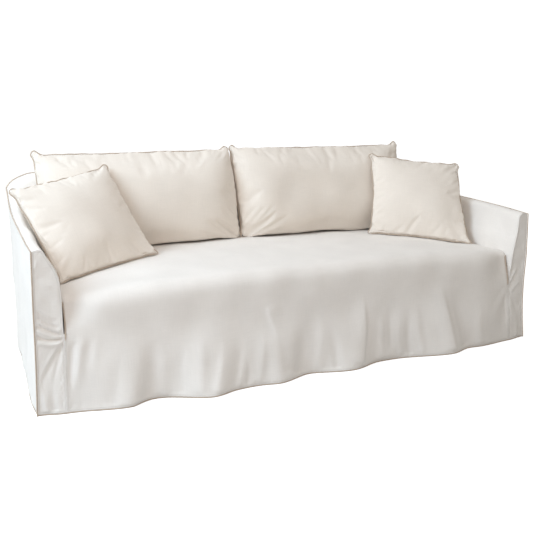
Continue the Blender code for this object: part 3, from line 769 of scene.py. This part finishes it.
# corners are the bottom left, bottom right, top left and top right, each across, deep and high; left and
# right are how far those sides lean out, from the foot to the top
CUSHIONS = {
    "back_cushion_left": {
        **BACK, "seed": 71, "folds": 0.8, "sag": 0.018, "left": OUTER_SIDE, "right": INNER_SIDE,
        "corners": ((-1.050, 0.716, 0.430), (-0.083, 0.716, 0.430),
                    (-1.088, 0.800, 0.950), (-0.120, 0.800, 0.955)),
    },
    "back_cushion_right": {
        **BACK, "seed": 72, "folds": 0.5, "sag": 0.014, "left": INNER_SIDE, "right": OUTER_SIDE,
        "corners": ((-0.069, 0.716, 0.430), (0.905, 0.716, 0.430),
                    (-0.106, 0.800, 0.955), (0.912, 0.800, 0.953)),
    },
    "scatter_cushion_left": {
        **SCATTER, "seed": 73,
        "left": (0.012, 0.016, 0.025, 0.026, 0.026), "right": (0.002, 0.001, 0.000, 0.003, 0.004),
        "corners": ((-1.043, 0.249, 0.430), (-0.593, 0.486, 0.470),
                    (-1.198, 0.485, 0.812), (-0.775, 0.680, 0.888)),
    },
    "scatter_cushion_right": {
        **SCATTER, "seed": 74,
        "left": (0.010, 0.007, 0.000, 0.005, 0.006), "right": (0.000, 0.001, 0.002, 0.005, 0.006),
        "corners": ((0.606, 0.547, 0.470), (1.032, 0.252, 0.430),
                    (0.680, 0.685, 0.902), (1.113, 0.480, 0.845)),
    },
}
TURNS = ((0, 1, 2), (1, 0, 3), (2, 3, 0), (3, 2, 1))  # each corner, and the two beside it


def corners_of(name):
    """The bottom left, bottom right, top left and top right corner of a cushion."""
    return [Vector(np.add(place, HEM_MIDDLE)) for place in CUSHIONS[name]["corners"]]


def axes_of(name):
    """The bottom left corner, then the directions across, up and out of the front of a cushion."""
    low_left, low_right, high_left, high_right = corners_of(name)
    along = (low_right - low_left + high_right - high_left).normalized()
    rise = high_left + high_right - low_left - low_right
    out = along.cross(rise).normalized()
    return [np.array(way) for way in (low_left, along, out.cross(along), out)]


for name in CUSHIONS:
    print(name, "faces the front by", round(float(-axes_of(name)[3][1]), 3))

# %% [markdown]
# The creases of the cushions are written as places across and up from the bottom left corner. Most run
# in from the top edge, which is where the cloth is slack, or from the corners.

# %% Creases of the cushions
CUSHION_CREASES = {
    "back_cushion_left": [
        (519, 520, 531, 453, 537, 385, 10, 8, -6.3, 0.08, 0.7),
        (592, 520, 612, 475, 634, 436, 9, 9, -6, 0.08, 0.7),
        (640, 520, 663, 468, 686, 420, 9, 9, -6, 0.08, 0.7),
        (707, 520, 700, 487, 694, 455, 8, 8, -4.5, 0.08, 0.7),
        (562, 520, 572, 470, 580, 420, 11, 11, 4.5, 0.1, 0.7),
        (60, 500, 110, 455, 145, 405, 14, 12, -5, 0.2, 0.6),
        (100, 515, 150, 470, 190, 430, 14, 14, 3.7, 0.2, 0.6),
        (930, 60, 895, 110, 850, 160, 14, 14, -6.3, 0.2, 0.6),
        (945, 120, 915, 160, 890, 210, 14, 12, 4.2, 0.2, 0.6),
        (935, 470, 905, 430, 885, 385, 12, 12, -5, 0.2, 0.6),
        (300, 518, 306, 480, 304, 440, 10, 10, -3.2, 0.1, 0.7),
        (395, 518, 402, 478, 412, 440, 10, 10, -3.7, 0.1, 0.7),
        (790, 518, 784, 480, 770, 445, 10, 10, -3.7, 0.1, 0.7),
    ],
    "back_cushion_right": [
        (497, 520, 517, 455, 533, 400, 10, 9, -4.4, 0.08, 0.7),
        (577, 520, 567, 475, 560, 440, 9, 9, -3.8, 0.08, 0.7),
        (390, 520, 412, 438, 432, 365, 11, 10, -3.8, 0.08, 0.7),
        (538, 520, 542, 465, 545, 420, 12, 12, 3, 0.1, 0.7),
        (-10, 120, 20, 85, 55, 50, 12, 12, -6.3, 0.2, 0.6),
        (-5, 160, 32, 125, 70, 95, 13, 12, 4.5, 0.2, 0.6),
        (-20, 500, 6, 458, 36, 412, 13, 12, -5.5, 0.2, 0.6),
        (945, 485, 900, 445, 860, 395, 13, 14, -5.2, 0.2, 0.6),
        (130, 518, 140, 478, 155, 440, 10, 10, -2.8, 0.1, 0.7),
        (240, 518, 246, 480, 250, 440, 10, 10, -2.6, 0.1, 0.7),
        (700, 518, 694, 478, 680, 440, 10, 10, -2.8, 0.1, 0.7),
        (800, 518, 796, 480, 786, 445, 10, 10, -2.6, 0.1, 0.7),
    ],
    "scatter_cushion_left": [
        (-116, 300, -60, 309, 4, 306, 9, 10, -10.5, 0.1, 0.6),
        (-106, 272, -54, 281, 10, 279, 11, 11, 7, 0.1, 0.6),
        (-98, 240, -44, 246, 26, 242, 9, 10, -10, 0.1, 0.6),
        (-92, 222, -36, 228, 36, 226, 10, 10, 6, 0.1, 0.6),
        (-84, 205, -26, 210, 52, 206, 9, 10, -10, 0.1, 0.6),
        (-66, 150, -14, 166, 50, 176, 10, 11, -8.4, 0.1, 0.6),
        (-52, 110, -4, 132, 50, 150, 11, 12, 5.2, 0.1, 0.6),
        (-70, 440, -12, 396, 36, 340, 14, 13, -6.3, 0.2, 0.6),
        (455, 475, 392, 438, 330, 392, 14, 13, -6.3, 0.2, 0.6),
        (470, 2, 412, 44, 352, 92, 13, 13, -6.3, 0.2, 0.6),
        (-30, 0, 26, 40, 86, 84, 13, 13, -6.3, 0.2, 0.6),
        (100, 450, 106, 415, 104, 380, 10, 10, -4.2, 0.1, 0.7),
        (210, 455, 208, 420, 214, 385, 10, 10, -3.7, 0.1, 0.7),
    ],
    "scatter_cushion_right": [
        (-10, 65, 38, 40, 94, 16, 12, 12, -6.9, 0.15, 0.6),
        (-10, 110, 32, 80, 78, 52, 13, 12, 4.5, 0.15, 0.6),
        (-55, 450, 2, 398, 56, 344, 14, 13, -6.3, 0.2, 0.6),
        (435, 455, 384, 402, 336, 346, 14, 13, -6.3, 0.2, 0.6),
        (500, 2, 446, 50, 388, 98, 13, 13, -6.3, 0.2, 0.6),
        (120, 450, 124, 414, 120, 378, 10, 10, -4, 0.1, 0.7),
        (250, 452, 246, 414, 252, 380, 10, 10, -3.7, 0.1, 0.7),
        (455, 260, 415, 256, 378, 262, 10, 10, -4, 0.1, 0.7),
    ],
}

# %% [markdown]
# The cushion's faces are refined first and its seam is marked, so that it stays a sharp line. The
# seam's points are those that lie against the bead of the cushion's edging.

# %% Refine a cushion and find its seam
SEAM_TO_BEAD = 0.0055
NEAR = 0.02


def seam_pairs(piece, name):
    """The edges along a cushion's seam: both of their ends lie against its edging's bead."""
    tree = tree_of(bpy.data.objects[name + "_edging"])
    gaps = [tree.find_nearest(Vector(place), NEAR)[3] or 1.0 for place in points_of(piece)]
    at_bead = np.array(gaps) < SEAM_TO_BEAD
    pairs = pairs_of(piece)
    return pairs[at_bead[pairs].all(axis=1)]


def hold_sharp(piece, values):
    """Marks how sharp each edge stays when the piece is rounded."""
    piece.data.attributes.new("crease_edge", "FLOAT", "EDGE").data.foreach_set("value", values)


def refined_cushion(name):
    piece = copy_of(name, name + "_cloth")
    into_quads(piece)
    seam = {tuple(sorted(pair)) for pair in seam_pairs(piece, name).tolist()}
    hold_sharp(piece, [float(tuple(sorted(edge)) in seam) for edge in pairs_of(piece).tolist()])
    finer(piece, 3)
    mark_seam(piece, *from_seam(points_of(piece), seam_pairs(piece, name)))
    return piece


cushions = {name: refined_cushion(name) for name in CUSHIONS}
seam_gaps = {name: numbers(piece.data.attributes["seam_gap"].data, "value", kind=np.float32).astype(float)
             for name, piece in cushions.items()}

# %% [markdown]
# ## How the cushions settle
# A cushion's foot slumps forward and down until it lies on the seat. How far it has to come down is
# measured along its bead, against the finished cloth of the seat.

# %% Settle a cushion on the seat
SETTLE_REACH = 0.100
ON_SEAT = 0.0012
FORWARD = 0.010
FORWARD_LOW = 0.026
FORWARD_REACH = 0.050
STATION_STEP = 0.03
FOOT_HEIGHT = 0.04
LOOK_FROM = 0.05

seat_tree = tree_of(seat)


def seat_under(place, lift):
    """Where the seat's cloth lies under a place, looked for from that much above it."""
    return seat_tree.ray_cast(Vector(place) + Vector((0, 0, lift)), Vector((0, 0, -1)))[0]


def toward_front(name, height, gap):
    """How far the seam comes forward of the middle of a cushion: most at its foot, where it slumps."""
    out = axes_of(name)[3]
    level = np.array([out[0], out[1], 0.0]) / math.hypot(out[0], out[1])
    push = FORWARD + (FORWARD_LOW - FORWARD) * smooth(1.0 - height / SETTLE_REACH)
    return np.outer(push * np.exp(-((gap / FORWARD_REACH) ** 2)), level)


def gap_below(name):
    """How far the bottom of a cushion's bead hangs over the seat, station by station along it."""
    low_left, along, up, _ = axes_of(name)
    bead = points_of(bpy.data.objects[name + "_edging"])
    across, height = (bead - low_left) @ along, (bead - low_left) @ up
    bead = bead + toward_front(name, height, np.zeros(len(bead)))
    stations, gaps = [], []
    for station in np.arange(across.min() + 0.01, across.max(), STATION_STEP):
        near = bead[(abs(across - station) < STATION_STEP) & (height < FOOT_HEIGHT)]
        hits = [(place, seat_under(place, LOOK_FROM)) for place in near]
        found = [place[2] - hit.z for place, hit in hits if hit is not None]
        if found:
            stations.append(station)
            gaps.append(max(min(found) - ON_SEAT, 0.0))
    print(name, "over the seat by", [round(gap * 1000, 1) for gap in gaps], "mm")
    gaps = np.convolve(np.pad(gaps, 1, mode="edge"), (0.25, 0.5, 0.25), "valid")
    return [across.min(), *stations, across.max()], [0.0, *gaps, 0.0]


seat_gaps = {name: gap_below(name) for name in CUSHIONS}

# %% [markdown]
# The tips of a cushion's corners never fill, so they blunt and fold in, and the seam wavers a little
# where the cloth was eased into it. These moves depend only on the place, so the cloth and the bead of
# its edging move together.

# %% Blunt the corners and ease the seam
KNOB_AT, KNOB_WIDTH, KNOB_HEIGHT = 0.017, 0.012, 0.0050
NECK_AT, NECK_WIDTH, NECK_REACH = 0.052, 0.019, 0.030
SAG_START, SAG_REACH = 0.050, 0.120
WAVER_SEED, WAVER_LENGTH, WAVER_HEIGHT, WAVER_REACH = 90, 0.075, 0.0016, 0.022
SIDE_REACH = 0.110
SIDE_STATIONS = (0.0, 0.15, 0.5, 0.88, 1.0)


def worn_corner(places, tip, beside, over, gap, radius, neck_depth):
    """Rounds one corner, with a small knob at its tip and a neck in the seam on both sides of it."""
    first = (beside - tip) / np.linalg.norm(beside - tip)
    second = (over - tip) / np.linalg.norm(over - tip)
    flat = np.linalg.lstsq(np.stack([first, second], 1), (places - tip).T, rcond=None)[0].T
    inward = np.clip(1.0 - flat / radius, 0.0, 1.4)
    round_off = inward.max(axis=1) / np.maximum(np.linalg.norm(inward, axis=1), 1e-9)
    shift = np.where((inward > 0).all(axis=1), 1.0 - round_off, 0.0)[:, None] * inward * radius
    neck = neck_depth * np.exp(-(((flat - NECK_AT) / NECK_WIDTH) ** 2))
    neck -= KNOB_HEIGHT * np.exp(-(((flat - KNOB_AT) / KNOB_WIDTH) ** 2))
    neck *= np.exp(-gap / NECK_REACH)[:, None] * smooth(1.0 - flat[:, ::-1] / NECK_AT)
    return places + np.outer(shift[:, 0] + neck[:, 1], first) + np.outer(shift[:, 1] + neck[:, 0], second)


def worn_seam(places, name, gap):
    """Where the points of a cushion and its edging go when its corners are blunt and its seam eased."""
    wear = CUSHIONS[name]
    tips = [np.array(place) for place in corners_of(name)]
    low_left, _, high_left, high_right = tips
    _, along, up, out = axes_of(name)
    moved = places
    for tip, beside, over in TURNS:
        moved = worn_corner(moved, tips[tip], tips[beside], tips[over], gap, wear["tip"], wear["neck"])
    height = (moved - low_left) @ up
    rise = height / float((high_left - low_left) @ up)
    for low, high, way, side in ((0, 2, -1.0, "left"), (1, 3, 1.0, "right")):
        edge = tips[low] + np.outer(rise, tips[high] - tips[low])
        inner = ((edge - moved) @ along) * way
        lean = np.interp(rise, SIDE_STATIONS, wear[side]) * smooth(1.0 - inner / SIDE_REACH)
        moved = moved + np.outer(way * lean, along)
    from_end = np.minimum((moved - high_left) @ along, (high_right - moved) @ along)
    below_top = high_left @ up - moved @ up
    sag = wear["sag"] * smooth(from_end / SAG_START) * smooth(1.0 - below_top / SAG_REACH)
    moved = moved - np.outer(sag, up) + toward_front(name, height, gap)
    down = np.interp((moved - low_left) @ along, *seat_gaps[name])
    moved[:, 2] -= down * smooth(1.0 - height / SETTLE_REACH)
    waver = slack(places, WAVER_SEED + len(name), WAVER_LENGTH, WAVER_HEIGHT)
    waver *= np.exp(-gap / WAVER_REACH)
    above = smooth((rise - 0.5) / 0.2)
    return moved + np.outer(waver * above, up) + np.outer(0.8 * waver, out)


# %% [markdown]
# ## Filling
# The simulation runs over a few frames and is then applied, so no Cloth is left on the piece.

# %% Fill the cushions
FRAMES = 18
GROWTH = 0.012
PINNED = 0.001


def add_filling(piece, gap):
    hold(piece)
    pinned = piece.vertex_groups.new(name="seam")
    pinned.add([int(index) for index in np.flatnonzero(gap < PINNED)], 1.0, "REPLACE")
    cloth = piece.modifiers.new("filling", "CLOTH")
    settings = cloth.settings
    settings.quality = 4
    settings.mass = 0.3
    settings.tension_stiffness = settings.compression_stiffness = 12
    settings.shear_stiffness = 4
    settings.bending_stiffness = 1.2
    settings.use_pressure = True
    settings.uniform_pressure_force = 4
    settings.effector_weights.gravity = 0
    settings.shrink_min = settings.shrink_max = -GROWTH
    settings.vertex_group_mass = "seam"
    cloth.collision_settings.use_collision = False


drawn = {name: points_of(piece) for name, piece in cushions.items()}
for name, piece in cushions.items():
    add_filling(piece, seam_gaps[name])
for number in range(1, FRAMES + 1):
    bpy.context.scene.frame_set(number)
for piece in cushions.values():
    hold(piece)
    bpy.ops.object.modifier_apply(modifier="filling")
bpy.context.scene.frame_set(1)
filled = {name: points_of(piece) for name, piece in cushions.items()}
for name, places in filled.items():
    print(name, "swelled by up to", round(float(np.linalg.norm(places - drawn[name], axis=1).max()), 4))

# %% [markdown]
# The swelling is then capped, and the cap is evened out over the mesh, so that no step shows where it
# takes hold. The creases and the worn seam come after it.

# %% Helpers for the cap and the corners
ROOM_REACH = 0.03
FOLD_SEED = 40
FOLD_START = (0.9, 1.2)  # as a share of the way from the tip to the neck
FOLD_LENGTH, FOLD_BEND = (0.055, 0.105), (-0.010, 0.010)
FOLD_WIDTH, FOLD_DEPTH = (0.009, 0.013), (0.0028, 0.0056)


def evened(piece, values, rounds):
    """Evens out a value over a mesh by mixing each point's with those beside it."""
    first, second = pairs_of(piece).T
    size = len(values)
    count = (np.bincount(first, minlength=size) + np.bincount(second, minlength=size)).astype(float)
    for _ in range(rounds):
        total = np.bincount(first, values[second], size) + np.bincount(second, values[first], size)
        values = 0.4 * values + 0.6 * total / count
    return values


def room_round(places, name):
    """How far each point may move out before it comes close to another solid."""
    room = np.full(len(places), ROOM_REACH)
    for other in bpy.data.objects:
        if "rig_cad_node" not in other or other.type != "MESH" or other.name.startswith(name):
            continue
        tree = tree_of(other)
        for index, place in enumerate(places):
            found = tree.find_nearest(Vector(place), ROOM_REACH)
            if found[0] is not None:
                room[index] = min(room[index], found[3])
    return room


def corner_folds(name):
    """Short folds that run in from the necks beside each corner of a cushion."""
    low_left, along, up, _ = axes_of(name)
    flat = (np.array(corners_of(name)) - low_left) @ np.stack([along, up], 1)
    centre = flat.mean(axis=0)
    draw = np.random.default_rng(FOLD_SEED + len(name))
    rows = []
    for tip, beside, over in TURNS:
        for toward in (beside, over):
            side = (flat[toward] - flat[tip]) / np.linalg.norm(flat[toward] - flat[tip])
            begin = flat[tip] + side * NECK_AT * draw.uniform(*FOLD_START)
            way = (centre - begin) / np.linalg.norm(centre - begin)
            length = draw.uniform(*FOLD_LENGTH)
            bend = draw.uniform(*FOLD_BEND) * np.array([-way[1], way[0]])
            width = draw.uniform(*FOLD_WIDTH)
            depth = draw.uniform(*FOLD_DEPTH) * CUSHIONS[name]["folds"]
            middle, end = begin + way * length / 2 + bend, begin + way * length
            row = np.array([*begin, *middle, *end, width, width * 1.3, -depth]) * 1000.0
            rows.append((*row, 0.1, 0.7))
    return rows


# %% Cap the swelling, then crease the cushions
SWELL_CAP, SWELL_REACH = 0.014, 0.035
SEAM_CAP, SEAM_REACH = 0.0015, 0.004
ROOM_SHARE, ROOM_ROUNDS = 0.45, 40
CAP_ROUNDS = 12
RISE_ROOM = 0.012
FACING = 0.3
CREASE_GAP = 0.010
EASE = (57, 0.030, 0.0011)  # seed, length and height of the gathers beside the seam
EASE_GAP, EASE_WIDTH = 0.014, 0.012


def shaped_cushion(name):
    piece, start, gap = cushions[name], drawn[name], seam_gaps[name]
    low_left, along, up, out = axes_of(name)
    moved = filled[name] - start
    far = np.linalg.norm(moved, axis=1)
    move_points(piece, start)
    normals = normals_of(piece)
    calm = evened(piece, room_round(start, name), ROOM_ROUNDS)
    cap = SWELL_CAP * smooth(gap / SWELL_REACH) + SEAM_CAP * smooth(gap / SEAM_REACH)
    cap = np.maximum(evened(piece, np.minimum(cap, ROOM_SHARE * calm), CAP_ROUNDS), 1e-5)
    share = cap * np.tanh(far / cap) / np.maximum(far, 1e-9)
    places = start + moved * share[:, None]
    flat = (places - low_left) @ np.stack([along, up], 1)
    front = smooth(normals @ out / FACING)
    lift = creases(flat, CUSHION_CREASES[name] + corner_folds(name)) * front
    lift += slack(places, CUSHIONS[name]["seed"], *CUSHIONS[name]["slack"])
    free = smooth(calm / RISE_ROOM)
    lift = np.where(lift > 0, lift * free, lift) * smooth(gap / CREASE_GAP)
    lift += slack(places, *EASE) * np.exp(-(((gap - EASE_GAP) / EASE_WIDTH) ** 2)) * free
    lay_thread(piece, flat)
    print(name, "kept up to", round(float((far * share).max()), 4), "of its swelling")
    return worn_seam(places + normals * lift[:, None], name, gap)


shaped = {name: shaped_cushion(name) for name in CUSHIONS}

# %% [markdown]
# A full cushion rolls over its own seam, so from the front much of the bead is hidden, and its lower
# edge lies on the seat. Both stop just short of whatever stands beside them.

# %% Roll the cloth over the seam
ROLL, ROLL_IN, ROLL_OUT = 0.0085, 0.016, 0.075
ROLL_SLACK = (61, 0.16, 0.22)
ROLL_ROUNDS = 3
ROLL_SHARE = 0.55
TOUCH = 0.0008
BEHIND = -0.001

obstacles = {name: tree_of(bpy.data.objects[name])
             for name in ("inside_arm_left", "inside_arm_right", "inside_back")}
obstacles.update({name: tree_of(piece, shaped[name]) for name, piece in cushions.items()})


def free_round(place, others):
    """How far a place may move before it touches what stands beside its cushion."""
    found = [other.find_nearest(Vector(place), NEAR)[0] for other in others]
    gaps = [(hit - Vector(place)).length - TOUCH for hit in found if hit is not None]
    return max(min(gaps, default=1.0), 0.0)


def rolled(name, places):
    gap, out = seam_gaps[name], axes_of(name)[3]
    seam = search_tree(places, np.flatnonzero(gap < PINNED))
    others = [obstacle for other, obstacle in obstacles.items() if other != name]
    bump = smooth(gap / ROLL_IN) * smooth((ROLL_OUT - gap) / (ROLL_OUT - ROLL_IN))
    amount = ROLL * bump * (1.0 + slack(places, *ROLL_SLACK))
    moved = places.copy()
    for index in np.flatnonzero(bump > 0.01):
        place = places[index]
        way = np.array(seam.find(Vector(place))[0]) - place
        if way @ out > BEHIND:
            continue
        way -= (way @ out) * out
        if way @ way >= 1e-8:
            step = min(amount[index], ROLL_SHARE * free_round(place, others))
            moved[index] = place + way / np.linalg.norm(way) * step
    return moved


# %% Rest the cloth on the seat, and finish the cushions
LOW = 0.15
LOOK_HIGHER = 0.08

for name, piece in cushions.items():
    shift = rolled(name, shaped[name]) - shaped[name]
    places = shaped[name] + np.stack([evened(piece, part, ROLL_ROUNDS) for part in shift.T], 1)
    for index in np.flatnonzero(places[:, 2] < LOW):
        hit = seat_under(places[index], LOOK_HIGHER)
        if hit is not None:
            places[index, 2] = max(places[index, 2], hit.z + TOUCH)
    move_points(piece, places)
    piece.vertex_groups.clear()
    hold(piece)
    bpy.ops.object.shade_smooth()
    finish(piece, cushion_canvas_painted_shade, name)
    print(name, "rolled over its seam by up to", round(float(np.linalg.norm(shift, axis=1).max()), 4))

# %% [markdown]
# ## Edgings
# Each bead of overlock thread is rounded from its solid, which is a bead with flat sides. Where a bead
# turns a sharp corner, its ring of edges is held, so that the rounding can't cut the corner off. A
# cushion's bead moves with the cushion's seam.

# %% Keep the sharp bends of a bead
RING = 0.0045
RING_ROUNDS = 12
SHARP_BEND = math.radians(28)


def keep_bends(bead):
    places, pairs = points_of(bead), pairs_of(bead)
    length = np.linalg.norm(places[pairs[:, 0]] - places[pairs[:, 1]], axis=1)
    ring = np.arange(len(places))
    for _ in range(RING_ROUNDS):
        for first, second in pairs[length < RING]:
            ring[first] = ring[second] = min(ring[first], ring[second])
    middle = {int(number): places[ring == number].mean(axis=0) for number in np.unique(ring)}
    beside = {}
    for first, second in ring[pairs[length >= RING]].tolist():
        beside.setdefault(first, set()).add(second)
        beside.setdefault(second, set()).add(first)
    sharp = set()
    for here, others in beside.items():
        if len(others) == 2:
            first, second = (Vector(middle[other] - middle[here]) for other in others)
            if math.pi - first.angle(second) > SHARP_BEND:
                sharp.add(here)
    ends = ring[pairs].tolist()
    hold_sharp(bead, [float(first == second and first in sharp) for first, second in ends])
    print(bead.name, "rings", len(middle), "corners kept", len(sharp))


# %% Edgings
EDGINGS = ["top_edging", "hem_edging", "slit_edging_left", "slit_edging_right"]
EDGINGS += [name + "_edging" for name in CUSHIONS]

for name in EDGINGS:
    bead = copy_of(name, name + "_thread")
    into_quads(bead)
    cushion = name.removesuffix("_edging")
    if cushion in CUSHIONS:
        finer(bead, 2)
        places = points_of(bead)
        move_points(bead, worn_seam(places, cushion, np.zeros(len(places))))
    else:
        keep_bends(bead)
        finer(bead, 2)
    finish(bead, edge_thread, name)

# %% [markdown]
# ## What each panel is
# The sizes are those of the cloth laid flat before it was sewn, and the trims are sewn to it.

# %% Finish the panels
SHEETS = {  # width and length laid flat, how it hangs, its trims
    "seat_and_skirt": ((2.36, 1.32), "draped", ["hem_edging"]),
    "arm_front_left": ((0.10, 0.63), "hung", ["slit_edging_left"]),
    "arm_front_right": ((0.10, 0.63), "hung", ["slit_edging_right"]),
    "inside_arm_left": ((0.98, 0.36), "stretched", []),
    "inside_arm_right": ((0.98, 0.36), "stretched", []),
    "outside_arm_left": ((1.02, 0.78), "hung", []),
    "outside_arm_right": ((1.02, 0.78), "hung", []),
    "outside_back": ((2.44, 0.86), "hung", ["top_edging"]),
    "inside_back": ((2.36, 0.52), "stretched", []),
}
for name, (flat, held, trims) in SHEETS.items():
    piece = bpy.data.objects[name + "_cloth"]
    finish(piece, cover_cloth, name)
    area = sum(face.area for face in piece.data.polygons) / 2.0
    print(name, "area", round(area, 3), "of flat", round(flat[0] * flat[1], 3))

# %% [markdown]
# ## Floor and light
# The floor is pale and plain. A wide soft light stands high on the left and the room is white all
# round, so the left side and the seat are bright and the front grows darker towards the right. The
# camera sees the floor and the room whiter than they light the cloth.

# %% Show the camera another shader
def for_camera(tree, lighting, shown, output):
    eye = node(tree, "ShaderNodeLightPath")
    either = node(tree, "ShaderNodeMixShader")
    tree.links.new(eye.outputs["Is Camera Ray"], either.inputs[0])
    tree.links.new(lighting.outputs[0], either.inputs[1])
    tree.links.new(shown.outputs[0], either.inputs[2])
    tree.links.new(either.outputs[0], tree.nodes[output].inputs["Surface"])


# %% Floor
UNDER_HEM = 0.0008

bpy.ops.object.select_all(action="DESELECT")
bpy.ops.mesh.primitive_plane_add(size=14.0, location=(0.0, 2.0, FLOOR - UNDER_HEM))
floor = bpy.context.object
floor.name = "floor"
pale = bpy.data.materials.new("pale floor")
pale.use_nodes = True
bright = pale.node_tree.nodes["Principled BSDF"]
bright.inputs["Base Color"].default_value = (0.95, 0.95, 0.95, 1.0)
bright.inputs["Roughness"].default_value = 0.9
bright.inputs["Emission Color"].default_value = (1.0, 1.0, 1.0, 1.0)
bright.inputs["Emission Strength"].default_value = 0.62
matt = node(pale.node_tree, "ShaderNodeBsdfDiffuse", Color=(0.60, 0.595, 0.59, 1.0))
for_camera(pale.node_tree, matt, bright, "Material Output")
floor.data.materials.append(pale)
print("floor at", round(FLOOR - UNDER_HEM, 4))

# %% The room
bpy.context.scene.view_settings.view_transform = "Standard"
room = bpy.data.worlds.new("room")
bpy.context.scene.world = room
room.use_nodes = True
walls = room.node_tree.nodes["Background"]
walls.inputs["Color"].default_value = (1.0, 0.982, 0.918, 1.0)
walls.inputs["Strength"].default_value = 0.425
white = node(room.node_tree, "ShaderNodeBackground", Color=(1, 1, 1, 1), Strength=1.05)
for_camera(room.node_tree, walls, white, "World Output")
print("room lit at", walls.inputs["Strength"].default_value)

# %% Lights
LIGHTS = {  # place, aim, size, watts, colour
    "window": ((-3.4, -0.9, 2.3), (0.0, 0.0, 0.0), 2.2, 108.0, (0.70, 0.858, 1.0)),
    "overhead": ((-0.4, 0.2, 3.2), (0.0, 0.0, 0.0), 2.6, 18.5, (1.0, 0.947, 0.974)),
    "front": ((-1.6, -3.2, 2.0), (-0.1, -0.4, -0.1), 1.8, 33.0, (1.0, 0.90, 0.875)),
    "side": ((-4.4, 0.35, 0.7), (0.0, 0.2, 0.0), 1.6, 12.0, (1.0, 0.95, 0.92)),
    "rear": ((-1.3, 4.0, 1.6), (0.2, 0.4, -0.1), 1.4, 56.0, (1.0, 0.97, 0.94)),
}
for name, (place, aim, size, watts, colour) in LIGHTS.items():
    data = bpy.data.lights.new(name, "AREA")
    data.shape = "DISK"
    data.size = size
    data.energy = watts
    data.color = colour
    light = bpy.data.objects.new(name, data)
    light.visible_camera = False
    bpy.context.scene.collection.objects.link(light)
    light.location = place
    light.rotation_euler = (Vector(aim) - Vector(place)).to_track_quat("-Z", "Y").to_euler()
print("lights", len(LIGHTS))
